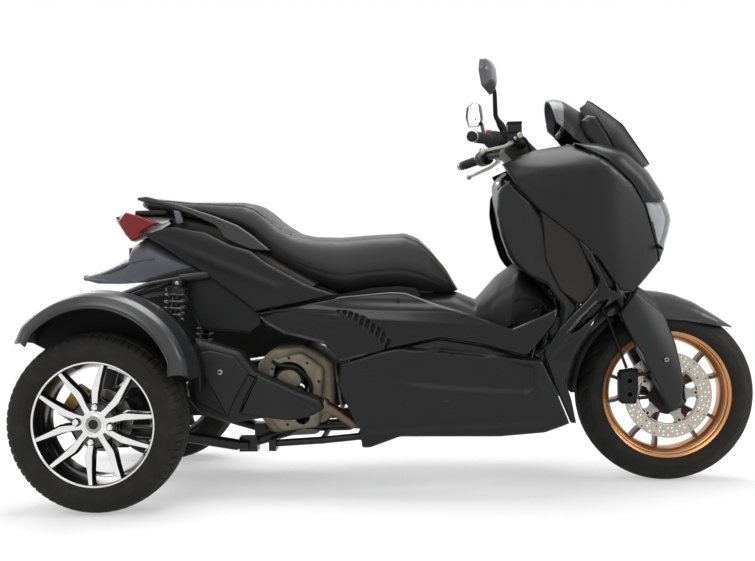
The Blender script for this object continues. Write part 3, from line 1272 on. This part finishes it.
wing = side_panel([(1198, 938), (1175, 923), (1164, 908), (1160, 849), (1173, 773), (1194, 710),
    (1212, 683), (1251, 652), (1300, 630), (1345, 560), (1330, 470), (1262, 420)],
    [(1198, 938), (1222, 905), (1262, 870), (1292, 822), (1302, 770), (1310, 712), (1330, 650),
    (1362, 600), (1392, 560), (1380, 500), (1330, 450), (1275, 412)], lambda x, z: inner_half(x, z)
    - 14, roll=16, flange=24, soft=26, along=150, across=34)
dull = side_panel([(1281, 842), (1289, 790), (1294, 703), (1336, 612), (1392, 566), (1440, 600)],
    [(1281, 842), (1340, 803), (1385, 776), (1402, 728), (1424, 668), (1440, 600)], lambda x,
    z: inner_half(x, z) + 2, roll=5, flange=20, soft=14, along=90, across=26, finish=1)
centre = wrap([(1186, 968), (1166, 952), (1172, 902), (1184, 836), (1228, 698), (1272, 640),
    (1330, 566), (1322, 502), (1250, 432)],
    [(1200, 950), (1178, 930), (1180, 896), (1192, 830), (1232, 700), (1278, 636), (1336, 562),
    (1326, 500), (1256, 432)], [150, 168, 178, 180, 170, 160, 150, 150, 150], 110, 41, 30, 0.35)
glove = block(soft_loop([(-92, -50), (92, -50), (100, 0), (88, 62), (-88, 62), (-100, 0)], 72, 34),
    ((1188, 0, 850), (0, 1, 0), (-0.17, 0, 0.985), (-0.985, 0, -0.17)), 12, 5, 0)
lock = block(circle(13, 28), ((1196, -128, 930), (0, 1, 0), (-0.17, 0, 0.985), (-0.985, 0, -0.17)),
    34, 3, 2)
piece("leg_shield_panels", both([wing, dull]) + [shell(centre, 4.0, inward=AHEAD), glove, lock],
      [body_satin, inner_black, cap_grey], "chassis", ["leg_shield"], sharp=45)

tunnel = wrap([(930, 606), (1040, 600), (1104, 572), (1173, 650), (1232, 692), (1272, 655),
    (1322, 585)], [(930, 520), (1040, 510), (1112, 490), (1176, 500), (1250, 520), (1290, 540),
    (1326, 555)], [118, 124, 150, 172, 176, 150, 120], 90, 49, 26, 0.42)
seat_rest = side_block([(900, 586), (968, 586), (968, 611), (900, 618)], 62, 124, 4, 1, 50, 8, 3)
toe_board = side_block([(1200, 500), (1275, 505), (1296, 560), (1225, 532)], 150, 300, 4, 0, 50, 10,
    3)
piece("tunnel_panel", [shell(tunnel, -4.0, inward=-UP), seat_rest, toe_board],
      [body_matte, inner_black], "chassis",
      ["tunnel_cover"], sharp=80)

# %% [markdown]
# ## Seat
#
# The seat is moulded foam under tight vinyl. It doesn't billow as a loose cushion
# would, so no cloth simulation is run: its section, a rounded box, is worked out
# along the length, and the sewn lines are pressed in afterwards. Each section point is
# (w |cos a|^p, middle + h |sin a|^q), which is an ellipse for p = q = 1 and a
# box for small p and q.

# %% The padded seat
SEAT_TOP = [(36, 916), (60, 922), (217, 903), (381, 899), (420, 890), (446, 872), (494, 830),
    (542, 800), (607, 787), (688, 784), (801, 791), (881, 793), (922, 775), (960, 738), (1007, 679),
    (1044, 618)]
SEAT_BASE = [(36, 886), (122, 868), (255, 842), (381, 786), (473, 706), (595, 640), (685, 604),
    (776, 620), (866, 624), (896, 618), (988, 603), (1044, 600)]
SEAT_HALF = [(36, 58), (120, 88), (250, 116), (400, 140), (500, 164), (560, 172), (700, 172),
    (850, 152), (960, 122), (1050, 74)]
SEAT_ROWS, SEAT_SIDES, END_ROUND = 190, 128, 34
rear, front = SEAT_TOP[0][0], SEAT_TOP[-1][0]
stations = rear + (front - rear) * (0.5 - 0.5 * np.cos(np.linspace(0, pi, SEAT_ROWS)))
high = smooth_table(SEAT_TOP, 26)(stations)
low = smooth_table(SEAT_BASE, 60)(stations)
wide = smooth_table(SEAT_HALF, 60)(stations)
short = np.clip(END_ROUND - np.minimum(stations - rear, front - stations), 0, END_ROUND)
ends = np.sqrt(np.clip(1 - (short / END_ROUND) ** 2, 0, 1))
middle, tall = (high + low) / 2, (high - low) / 2 * np.maximum(ends, 0.02)
wide = wide * (0.55 + 0.45 * ends) * np.maximum(ends, 0.05) ** 0.3
a = np.linspace(0, 2 * pi, SEAT_SIDES, endpoint=False)[None, :]
x = np.broadcast_to(stations[:, None], (SEAT_ROWS, SEAT_SIDES)).copy()
lean = np.where(np.sin(a) > 0, 0.62, 0.8)
narrow_below = np.where(np.sin(a) < 0, 1 - 0.16 * np.sin(-a), 1.0)
y = wide[:, None] * np.sign(np.cos(a)) * np.abs(np.cos(a)) ** 0.5 * narrow_below
z = middle[:, None] + tall[:, None] * np.sign(np.sin(a)) * np.abs(np.sin(a)) ** lean
# the rider's part is dished, and the pillion's has a low crown
rider = step(x, 520, 600) * step(920 - x, 0, 90)
z -= 3 * rider * np.clip(np.sin(a), 0, 1) * np.cos(np.clip(y / 150, -1, 1) * pi / 2)
seat_grid = np.stack([x, y, z], axis=-1)
out = normals_of(seat_grid)
out *= np.sign(np.sum(out * np.stack([0 * y, y, z - middle[:, None]], axis=-1), axis=-1,
    keepdims=True) + 1e-9)
# sewn lines: along both upper edges, and across at the step
rise = np.broadcast_to(np.arcsin(np.clip(np.sin(a), -1, 1)), x.shape)
stitch = 0.18 * step(x, 420, 560)
fade_in = step(x, 60, 110)
edge_seam = np.exp(-((rise - 0.62 - stitch) / 0.045) ** 2) * fade_in * step(1020 - x, 0, 60)
cross_seam = step(np.sin(a), 0.3, 0.5) * sum(
    np.exp(-((x - place - bend * y ** 2) / spread) ** 2)
    for place, bend, spread in ((470, 0.0009, 3.4), (392, 0.0006, 3.0)))
side_seam = np.exp(-((rise + 0.32) / 0.05) ** 2) * step(x, 500, 600) * step(1000 - x, 0, 60)
seat_grid -= out * (3.2 * np.maximum(np.maximum(edge_seam, cross_seam), side_seam))[..., None]
# the piping stands proud just above the edge seam
seat_grid += out * (1.4 * np.exp(-((rise - 0.72 - stitch) / 0.05) ** 2) * fade_in)[..., None]
seat_shape = grid(seat_grid, wrap_columns=True)
caps = [(seat_grid[end], [list(range(SEAT_SIDES))], 0) for end in (0, -1)]
low_side = (rise[:-1].reshape(-1) < -0.12) & (x[:-1].reshape(-1) > 420)
seat_piece = piece("seat_cushion", [seat_shape] + caps, [seat_vinyl, seat_side], "seat",
    ["seat"], sharp=60)
marks = np.concatenate([np.where(low_side, 1, 0), [0, 0]]).astype(int)
if len(marks) == len(seat_piece.data.polygons):
    seat_piece.data.polygons.foreach_set("material_index", marks)

# %% [markdown]
# ## Fenders
#
# A rear fender is an arch over its tyre: a section of crown, rounded shoulder and
# rolled lip, swept round a point above the axle. Towards its ends the outside corner
# is cut back in a curve, so each section point sweeps its own share of the arc.

# %% Rear fenders
ARCH_X, ARCH_Z = 11, 356


def round_arch(radius, y, angle):
    """Points at a radius round the arch's middle, which lies above the axle."""
    return swept((ARCH_X, 0, ARCH_Z), radius, y, angle)


def arch_fender(sign):
    """Each section point at radius r and side y is swept from angle a0(y) to a1(y)."""
    section = soft_line([(252, 240), (252, 262), (290, 277), (340, 281), (392, 276), (412, 266),
        (426, 246), (429, 237), (424, 234)], 60, 14)
    outer = step(section[:, 0], 330, 428)[:, None]
    first = 5.5 + 5 * outer ** 3
    last = 152 - 7 * outer ** 2
    t = np.linspace(0, 1, 110)[None, :]
    angle = np.radians(first + (last - first) * t)
    fade = 1 - 0.04 * (1 - step(np.minimum(t, 1 - t), 0, 0.08)) * outer
    radius = section[:, 1:2] * fade
    return shell(round_arch(radius, sign * section[:, :1], angle), 3.5,
        inward=np.stack([-np.cos(angle), 0 * angle - 0.2 * sign, -np.sin(angle)], axis=-1))


for name, sign in (("right", -1), ("left", 1)):
    stay = tube(soft_line([(199, sign * 178, 664), (120, sign * 235, 650), (60, sign * 300, 622)],
        20, 40), 7, 12, 1)
    bolt = block(circle(7, 24), ((48, sign * 252, 594), (1, 0, 0), (0, 0, 1), (0, sign, 0)), 6, 1.5,
        1)
    lug = round_arch(268, sign * 256, np.radians([20, 24, 28]))
    turn = np.radians(np.linspace(10, 153, 90))[None, :]
    reach = np.linspace(138, 274, 14)[:, None]
    liner = shell(round_arch(reach, sign * 251, turn), 3.0, 2, inward=(0, sign, 0))
    turn = np.radians(np.linspace(-4, 46, 40))[None, :]
    across_flap = np.linspace(244, 300, 8)[:, None]
    flap = shell(round_arch(286 - 0.03 * across_flap, sign * across_flap, turn), 4.0, 3,
        inward=-AHEAD)
    piece(f"rear_fender_arch_{name}", [arch_fender(sign), stay, tube(lug, 4, 8, 1), liner, flap,
        bolt], [fender_satin, frame_black, liner_black, body_gloss], "chassis",
        [f"rear_fender_{name}"], sharp=40)

# %% [markdown]
# The front fender is carried by the fork, so it rides on the steering body. Its ridge
# runs forward to a point, and its sides drop round the tyre.

# %% Front fender and fork covers
guard_mid = [(1480, 560), (1540, 590), (1610, 600), (1645, 597), (1682, 592), (1721, 583),
    (1778, 560), (1834, 524), (1900, 480)]
guard_low = [(1452, 470), (1505, 520), (1575, 540), (1640, 520), (1693, 509), (1735, 506),
    (1791, 496), (1846, 486), (1896, 479)]
guard = wrap(guard_mid, guard_low, [58, 64, 65, 65, 65, 65, 63, 52, 3], 110, 45, 22, 0.6)
brace = soft_loop([(1560, 560), (1640, 560), (1668, 512), (1690, 430), (1660, 400), (1600, 470)],
    60, 30)
braces = [block(brace, ((0, sign * 64.6, 0), (1, 0, 0), (0, 0, 1), (0, sign, 0)), 3.0, 1, 0)
    for sign in (-1, 1)]
piece("front_fender_blade", [shell(guard, -3.0, inward=UP)] + braces, fender_satin, "steering",
      ["front_fender"], sharp=45)


def tyre_arc(radius, first, last, count):
    """Side-view points of an arc round the front wheel, between two angles in degrees."""
    swing = np.radians(np.linspace(first, last, count))
    return np.stack([FRONT_HUB[0] + radius * np.cos(swing), FRONT_HUB[2] + radius * np.sin(swing)],
        axis=1)


# behind the tyre hangs a splash guard that steers with it, and behind that the body
# closes the well with a dark wall; both follow the tyre's circle
splash = block(np.vstack([tyre_arc(297, 124, 178, 34), tyre_arc(281, 124, 178, 34)[::-1]]),
    ((0, 58, 0), *TO_RIGHT), 116, 3, 0)
piece("front_splash_guard", [splash], liner_black, "steering")
well = block(np.vstack([tyre_arc(313, 147, 176, 22),
    [(1352, 300), (1336, 349), (1350, 390), (1364, 436), (1388, 469), (1410, 504), (1434, 500),
    (1424, 470)]]), ((0, 50, 0), *TO_RIGHT), 100, 3, 0)
stop = side_block([(1384, 534), (1426, 534), (1428, 586), (1384, 592)], 36, 72, 3, 0, 40, 6, 3)
piece("wheel_well_wall", [well, stop], liner_black, "chassis")

RAKE = radians(26.5)
AXIS_X = 1653


def cover_half(x, z):
    """The fork cover stands 130 mm out, and its front and rear edges fall away."""
    u = (x - AXIS_X) * cos(RAKE) + (z - FRONT_HUB[2]) * sin(RAKE)
    return 131 - 0.0032 * (u - 12) ** 2


fork_cover = side_panel([(1571, 596), (1526, 534), (1549, 485), (1592, 410), (1640, 310),
    (1672, 246), (1694, 238)], [(1571, 596), (1591, 614), (1620, 595), (1655, 570), (1668, 545),
    (1703, 434), (1719, 330), (1708, 262), (1694, 238)], cover_half, roll=9, flange=20, soft=20,
    along=120, across=34, relief=lambda x, z:
    -15 * step((z - (596 - 0.755 * (x - 1571))) / 26, 0, 1))
screw = block(circle(7, 32), ((1664, -127, 392), *TO_RIGHT), 3.4, 1.2, 1)
hollow = block(circle(3.6, 24), ((1664, -130.0, 392), *TO_RIGHT), 0.9, 0.3, 2)
piece("fork_cover_panels", both([fork_cover, screw, hollow]), [body_satin, cap_grey, liner_black],
    "steering", ["fork_covers"], sharp=40)

# %% [markdown]
# ## Tail
#
# The grab rail is a flat bar that leaves a shaped wedge beside the seat, and a short
# post joins it to the tail. The lamp is a red wedge under a silver shell.

# %% Grab rail, tail lamp and mudguard
rail_half = smooth_table([(20, 84), (120, 112), (250, 138), (400, 162), (490, 178)], 60)
arm = side_panel([(40, 912), (72, 906), (144, 890), (223, 861), (302, 824), (318, 806), (330, 782),
    (381, 759), (415, 746), (474, 742)],
    [(40, 920), (72, 922), (184, 892), (302, 852), (373, 823), (420, 791), (474, 745)], lambda x,
    z: rail_half(x) + 2, roll=5, flange=20, soft=16, along=120, across=22)
across_bar = np.linspace(-84, 84, 30)
tail_bar = tube(np.stack([47 - 10 * (1 - (across_bar / 84) ** 2), across_bar, 916 + 0 * across_bar],
    axis=1), 5.5, 16, up=(0, 0, 1))
post = side_block([(166, 876), (186, 872), (198, 836), (176, 832)], -112, 16, 3, 1, 30, 8, 3)
carrier = block(soft_loop([(30, -92), (138, -92), (138, 92), (30, 92)], 80, 30),
    ((0, 0, 865), *TO_TOP), 14, 3, 2)
piece("grab_rail_arms", both([arm, post]) + [tail_bar, carrier],
    [fender_satin, slate_plastic, inner_black], "chassis", ["grab_rail"], sharp=40)

lamp_shell = wrap([(-52, 872), (-30, 884), (40, 878), (150, 850)],
    [(-10, 806), (26, 779), (57, 788), (158, 832)], [62, 84, 102, 134], 50, 49, 14, 0.55)
lamp_red = side_panel([(2, 806), (24, 782), (52, 791), (58, 810), (118, 836)],
    [(-24, 846), (4, 874), (28, 868), (60, 858), (118, 838)], lambda x, z: tail_half(x, z) + 3.0,
    roll=8, flange=30, soft=8, along=60, across=22, finish=1)
lamp_back = wrap([(-50, 868), (-44, 850), (-24, 822), (10, 792)],
    [(-30, 862), (-22, 848), (-8, 822), (16, 790)], [58, 66, 74, 78], 30, 33, 10, 0.8)
piece("tail_lamp_unit", [shell(lamp_shell, 3.0, 0, inward=UP)] + both([lamp_red]) +
      [shell(lamp_back, 3.0, 1, inward=-AHEAD)], [mirror_silver, lens_red], "chassis",
      ["tail_lamp"], sharp=40)

under = wrap([(-150, 676), (-81, 700), (0, 742), (8, 776), (61, 802), (232, 706)],
    [(-158, 664), (-106, 650), (-24, 648), (29, 650), (100, 672), (236, 692)],
    [46, 60, 84, 96, 112, 138], 90, 45, 16, 0.5)
under_ridge = tube(soft_line([(-132, -36, 667), (-60, -60, 690), (0, -76, 712), (50, -90, 724),
    (92, -98, 726)], 40, 40), np.interp(np.linspace(0, 1, 40), [0, 0.5, 1], [3, 7, 2]), 12)
knob = block(circle(9, 24), ((-146, 0, 668), *TO_REAR), 26, 3, 2)
floor_plate = wrap([(-150, 670), (0, 656), (232, 692)], [(-158, 664), (-20, 648), (236, 692)],
    [46, 84, 138], 30, 21, 10, 0.4)
reflector = block(soft_loop([(-26, 718), (26, 718), (26, 752), (-26, 752)], 40, 8),
    ((-1, 0, 12), *TO_REAR), 12, 2, 1)
piece("tail_mudguard_form", [shell(under, 3.0, inward=-UP), shell(floor_plate, 3.0), reflector,
    knob] + both([under_ridge]), [slate_plastic, lens_red, liner_black], "chassis",
    ["tail_mudguard"], sharp=40)

# %% [markdown]
# Between the seat and the tail covers lies a dark deck, and under the tail a black
# panel hides the frame from the side.

# %% Tail deck and under-tail panels
deck = wrap([(66, 884), (150, 868), (300, 836), (400, 790), (500, 712), (620, 640)],
    [(70, 806), (160, 812), (300, 790), (390, 738), (480, 690), (600, 630)],
    [74, 96, 120, 142, 166, 180], 80, 41, 24, 0.3)
under_tail = side_panel([(112, 664), (206, 612), (250, 506), (403, 492), (440, 520)],
    [(112, 672), (184, 690), (247, 700), (340, 640), (440, 548)], lambda x, z: 150 + 0 * x, roll=6,
    flange=12, soft=14, along=70, across=24, finish=1)
piece("tail_deck", [shell(deck, -3.0, inward=-UP)] + both([under_tail]), [inner_black, body_matte],
      "chassis", sharp=45)

# %% [markdown]
# ## Suspension and drive
#
# A coil spring is a tube along a helix: foot + way s + R (cos t, sin t) in the plane
# square to its axis. The damper, its seats and its eyes are turned round the same axis.

# %% Springs
def square_to(foot, tip):
    """The direction from foot to tip, and two directions square to it."""
    way = (tip - foot) / np.linalg.norm(tip - foot)
    first = np.cross(way, (0, 1, 0) if abs(way[1]) < 0.9 else (1, 0, 0))
    first /= np.linalg.norm(first)
    return way, first, np.cross(way, first)


def turned_on(foot, tip, profile, steps=32, finish=0):
    """Turn a (distance along, radius) profile round the line from foot to tip."""
    foot, tip = np.array(foot, float), np.array(tip, float)
    way, first, second = square_to(foot, tip)
    rows = np.array(profile, float)
    t = np.linspace(0, 2 * pi, steps, endpoint=False)[None, :, None]
    outwards = first * np.cos(t) + second * np.sin(t)
    points = foot + rows[:, :1, None] * way + rows[:, 1:, None] * outwards
    return grid(points, wrap_columns=True, finish=finish)


def rod(start, end, radius, edge=1.5, steps=32, finish=0):
    """A round bar with rounded rims, closed at both ends."""
    long = np.linalg.norm(np.array(end, float) - start)
    return turned_on(start, end, [(0, 0), (0, radius - edge), (edge * 0.3, radius - edge * 0.3),
        (edge, radius), (long - edge, radius), (long - edge * 0.3, radius - edge * 0.3),
        (long, radius - edge), (long, 0)], steps, finish)


springs = []
for sign in (-1, 1):
    foot, tip = np.array([146.0, sign * 205, 330]), np.array([199.0, sign * 200, 650])
    way, first, second = square_to(foot, tip)
    t = np.linspace(0, 1, 560)[:, None]
    turn = 2 * pi * 10.5 * t
    helix = foot + way * (90 + 206 * (t + 0.018 * np.sin(2 * pi * t))) + 29 * (first * np.cos(turn)
        + second * np.sin(turn))
    springs += [tube(helix, 4.4, 12, 1),
        turned_on(foot, tip, [(6, 0), (6, 14), (10, 20), (60, 22), (66, 33), (76, 35), (86, 35),
        (88, 20), (150, 20), (154, 12), (294, 12), (296, 34), (310, 35), (314, 22), (318, 0)], 32,
        0)]
    springs += [rod(end - (0, 15, 0), end + (0, 15, 0), 16, 2, 32, 0) for end in (foot, tip)]
    springs += [rod(end - (0, 17.5, 0), end + (0, 17.5, 0), 7, 1, 6, 2) for end in (foot, tip)]
piece("coil_springs", springs, [frame_black, spring_grey, cap_grey], "chassis",
    ["rear_shocks"])

# %% [markdown]
# The muffler's heat shield is a second plate over its front half. The engine shows as
# a champagne-coloured casting with a round cover, bolts and fins.

# %% Muffler, pipe and engine
can = [(232, 300), (232, 470), (262, 482), (392, 443), (434, 383), (567, 322), (632, 297),
    (641, 271), (596, 247), (536, 236), (461, 245), (362, 230), (262, 262)]
guard_plate = [(441, 378), (560, 323), (628, 297), (636, 274), (594, 251), (528, 240), (468, 248),
    (384, 262), (402, 306)]
facet_plate = [(250, 300), (250, 440), (300, 452), (376, 432), (418, 380), (372, 300), (350, 250)]
piece("muffler_can", [side_block(can, -172, 70, 16, soft=24),
    side_block(guard_plate, -236, 14, 9, soft=14), side_block(facet_plate, -236, 11, 8, soft=14),
    side_disc(332, 385, -246, 8, 4, 1.2, 1), side_disc(332, 385, -249.4, 4, 1, 0.3, 2),
    rod((232, -211, 330), (226, -211, 329), 24, 1, 40, 1),
    rod((226, -211, 329), (225, -211, 329), 19, 0.3, 40, 2)],
    [muffler_black, cap_grey, liner_black], "chassis", ["muffler"])
header = tube(soft_line([(800, -50, 262), (790, -110, 222), (726, -170, 214), (668, -196, 258),
    (622, -210, 284)], 90, 34), 17, 24)
piece("exhaust_header", [header, rod((640, -204, 273), (626, -208, 281), 23, 2)], [pipe_brown],
    "chassis", ["exhaust_pipe"])

crank = [(417, 393), (464, 439), (557, 453), (624, 422), (655, 392), (655, 236), (600, 170),
    (470, 164), (420, 230)]
outer_case = [(440, 250), (470, 410), (560, 432), (630, 380), (612, 200), (490, 186)]
engine = [side_block(crank, 80, 200, 16, 0, soft=40),
    side_block(outer_case, -112, 36, 12, 0, soft=50), side_disc(520, 340, -140, 66, 8, 4),
    side_disc(520, 340, -146, 46, 3, 2, 1), side_disc(520, 340, -147, 38, 3, 2),
    side_disc(557, 322, -142, 13, 8, 2, 2), side_disc(557, 322, -149.2, 7, 1, 0.3, 1),
    side_disc(560, 232, -142, 26, 6, 3), side_disc(520, 205, -136, 10, 8, 2, 1)]
for k in range(9):
    engine.append(side_disc(532 + 84 * cos(k * pi / 4.5 + 0.3), 310 + 104 * sin(k * pi / 4.5 + 0.3),
        -144, 5, 5, 1.2, 3, 6))
tip_up = radians(8)
barrel_axes = (-sin(tip_up), 0, cos(tip_up)), (0, 1, 0), (cos(tip_up), 0, sin(tip_up))
for k in range(7):
    centre_x, centre_z = 662 + 22 * k, 314 + 3.1 * k
    engine.append(block(soft_box(74, 86, 60, 16), ((centre_x, 0, centre_z), *barrel_axes), 7, 1.5,
        0))
engine.append(block(soft_box(62, 72, 60, 16), ((640, 0, 311), *barrel_axes), 200, 6, 3))
hose_line = soft_line([(470, -140, 402), (488, -158, 392), (548, -160, 388), (590, -156, 340),
    (586, -152, 280)], 60, 60)
engine.append(tube(hose_line, 6, 12, 3))
piece("engine_casting", engine, [engine_alloy, liner_black, chrome, case_black], "chassis",
    ["engine"])

# %% [markdown]
# ## Handlebar and mirrors
#
# The controls ride on the steering body. The grips and the switch housings are turned
# round the bar's own line, so they stay in line with it.

# %% Bar, grips and controls
BAR = [(1276, 0, 1030), (1256, -80, 1052), (1164, -190, 1054), (1076, -366, 1043)]
inner, outer = np.array(BAR[2], float), np.array(BAR[3], float)
bar_way = (outer - inner) / np.linalg.norm(outer - inner)
half_bar = soft_line([(1276, 20, 1030)] + BAR, 90, 34)
shroud = block(soft_loop([(1190, 1036), (1200, 1092), (1232, 1104), (1258, 1076), (1300, 1032),
    (1280, 1002), (1225, 998)], 80, 18), ((0, -92, 0), *TO_LEFT), 184, 16, 1, 5)
clamp = side_disc(1250, 1054, -78, 15, 8, 3, 2)
piece("handlebar_tube", both([tube(half_bar, 11, 20), clamp]) + [shroud],
    [frame_black, inner_black, cap_grey], "steering", ["handlebar"])

t = np.linspace(0, 1, 260)
wave = 1.2 * np.clip(np.sin(2 * pi * 22 * t), -0.4, 1)
rib = 14.8 + wave * step(t, 0.1, 0.16) * step(0.93 - t, 0, 0.05)
grip = tube(inner + bar_way * (52 + 124 * t[:, None]), rib, 28)
collar = rod(inner + bar_way * 50, inner + bar_way * 57, 19, 2)
bar_end = rod(inner + bar_way * 176, outer - bar_way * 2, 15, 3, 32, 1)
bright = rod(inner + bar_way * 180, inner + bar_way * 184, 15.6, 0.6, 32, 2)
piece("hand_grips", both([grip, collar, bar_end, bright]), [grip_rubber, liner_black, chrome],
    "steering", ["grips"])

house = turned_on(inner + bar_way * 2, inner + bar_way * 51,
    [(0, 12), (1, 22), (5, 26), (22, 27), (23, 25.5), (25, 25.5), (26, 27), (44, 26), (48, 22),
    (49, 12)], 40)
tub = block(soft_box(26, 22, 60, 12),
            ((1206, -178, 1049), *TO_TOP), 26, 5, 0, 4)
cup = block(soft_box(21, 24, 60, 14),
            ((1214, -178, 1074), *TO_TOP), 27, 4, 0, 4)
lid = block(soft_box(22, 25, 60, 14),
            ((1214, -178, 1100), *TO_TOP), 8, 2.5, 1, 4)
lever = tube(soft_line([(1200, -186, 1050), (1206, -214, 1044), (1178, -262, 1026),
    (1106, -352, 1002)], 60, 40), np.interp(np.linspace(0, 1, 60), [0, 0.2, 0.9, 1],
    [7, 6.5, 5, 6]), 16, 2, flat=0.7)
ball = turned_on((1112, -343, 1004), (1100, -360, 1000),
    [(10 - 10 * cos(q), 9.5 * sin(q)) for q in np.linspace(0.02, pi - 0.02, 13)], 24, 2)
perch = rod((1200, -186, 1060), (1200, -186, 1040), 13, 2, 28, 2)
button = block(soft_box(8, 6, 30, 4), (inner + bar_way * 34 + (-14, 0, 20), *TO_TOP), 9, 1.5, 3)
switch = block(soft_box(9, 5, 30, 4), (inner + bar_way * 36 + (-24, 0, 4), *TO_REAR), 6, 1.5, 2)
banjo = [rod((1228, -203, 1066), (1228, -209, 1066), 9, 1.5, 28, 2),
    rod((1214, -203, 1058), (1214, -207, 1058), 5, 1, 6, 2)]
line = tube(soft_line([(1228, -198, 1066), (1250, -170, 1058), (1268, -120, 1032),
    (1276, -66, 1010)], 50, 40), 4, 12, 1)
piece("hand_controls_set", both([house, tub, cup, lid, lever, ball, perch, switch, line] + banjo)
    + [button], [case_black, liner_black, cap_grey, red_plastic], "steering",
    ["hand_controls"])

# %% [markdown]
# A mirror head is its glass outline, shrunk as it goes back over a quarter circle:
# scale cos t, depth sin t. The same outline, a little smaller, makes the glass.

# %% Mirrors
TOE = radians(20)
HEAD = [(-66, -26), (-44, -46), (40, -34), (66, 6), (52, 40), (0, 47), (-48, 34)]
HEAD_X, HEAD_Y, HEAD_Z = 1124, -322, 1216.4
HEAD_POINTS = 90
head_loop = soft_loop(HEAD, HEAD_POINTS, 22)


def toed_in(shape):
    """The shape turned by TOE about the upright line through the head's middle."""
    x, y, z = (shape[0] - (HEAD_X, HEAD_Y, 0)).T
    return np.stack([x * cos(TOE) + y * sin(TOE) + HEAD_X, y * cos(TOE) - x * sin(TOE) + HEAD_Y, z],
        axis=1), shape[1], shape[2]


def head_ring(ahead, loop):
    """The outline stood up across the vehicle, `ahead` mm in front of the head's middle."""
    return np.stack([HEAD_X + ahead + 0 * loop[:, 0], HEAD_Y - loop[:, 0], HEAD_Z + loop[:, 1]],
        axis=1)


def mirror_head():
    """Rings of the outline, from the rim forwards to a rounded back."""
    rings = [head_ring(-1, offset_loop(head_loop, 3)), head_ring(-3.5, offset_loop(head_loop, 1))]
    for q in np.linspace(0, pi / 2 * 0.96, 14):
        keel = 1 - 0.5 * sin(q) ** 2
        shrunk = head_loop * (cos(q) ** 0.7, cos(q) ** 0.7 * keel ** 0.2) + (6 * sin(q), 4 * sin(q))
        rings.append(head_ring(27 * sin(q) - 2, shrunk))
    verts, faces, _ = grid(np.array(rings), wrap_columns=True)
    last = HEAD_POINTS * (len(rings) - 1)
    return verts, faces + [list(range(last, last + HEAD_POINTS))], 0


glass = block(offset_loop(head_loop, 3),
    ((HEAD_X + 1, HEAD_Y, HEAD_Z), (0, -1, 0), (0, 0, 1), (-1, 0, 0)), 3, 0.5, 1)
stem = tube(soft_line([(1180, -205, 1062), (1180, -206, 1084), (1156, -226, 1120),
    (1150, -280, 1180), (1134, -306, 1206)], 70, 24),
    np.interp(np.linspace(0, 1, 70), [0, 0.2, 0.3, 0.8, 1], [11, 11, 7, 6, 9]), 18, 2)
nut = rod((1180, -205, 1066), (1180, -205, 1078), 13, 1.5, 6, 2)
piece("mirror_heads", both([toed_in(mirror_head()), toed_in(glass), stem, nut]),
    [mirror_shell_grey, mirror_glass, liner_black], "steering", ["mirrors"])

# %% [markdown]
# The front caliper has a half on each side of the disc and a bridge behind its rim.
# Two bolts hold it to the fork.

# %% Front caliper
pad_side = [(1540, 250), (1540, 352), (1594, 360), (1593, 306), (1587, 250)]
bridge = [(1536, 262), (1536, 344), (1549, 352), (1549, 254)]
casting = [side_block(pad_side, -34, 16, 6, 0, soft=14),
    side_block(pad_side, -62.5, 13.5, 6, 0, soft=14), side_block(bridge, -36, 38, 3, 0, soft=10)]
for z in (280, 322):
    casting += [side_disc(1566, z, -70, 17, 8, 3, 0), side_disc(1566, z, -76, 8, 2, 0.8, 1)]
casting += [rod((1590, -74, z), (1626, -78, z + 4), 5.5, 1.5) for z in (268, 340)]
piece("front_caliper_casting", casting, [caliper_black, cap_grey], "steering",
    ["front_caliper"])

# %% [markdown]
# ## Finishes of the plain CAD parts
#
# Round bars and simple castings are right as the CAD makes them, so they only get
# their finish.

# %% Carried-over parts
CARRIED = {"frame": frame_black, "rear_axle": frame_black, "transmission_case": case_black,
    "air_box": inner_black, "storage_box": inner_black, "radiator": radiator_black,
    "fork_legs": fork_black, "centre_stand": frame_black, "brake_hose": hose_rubber,
    "rear_calipers": caliper_gold}
for name, finish in CARRIED.items():
    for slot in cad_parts[name].material_slots:
        slot.material = finish
print(len(made), "pieces, and", len(CARRIED), "parts with a new finish")

# %% Sizes and the end
bpy.context.view_layer.update()
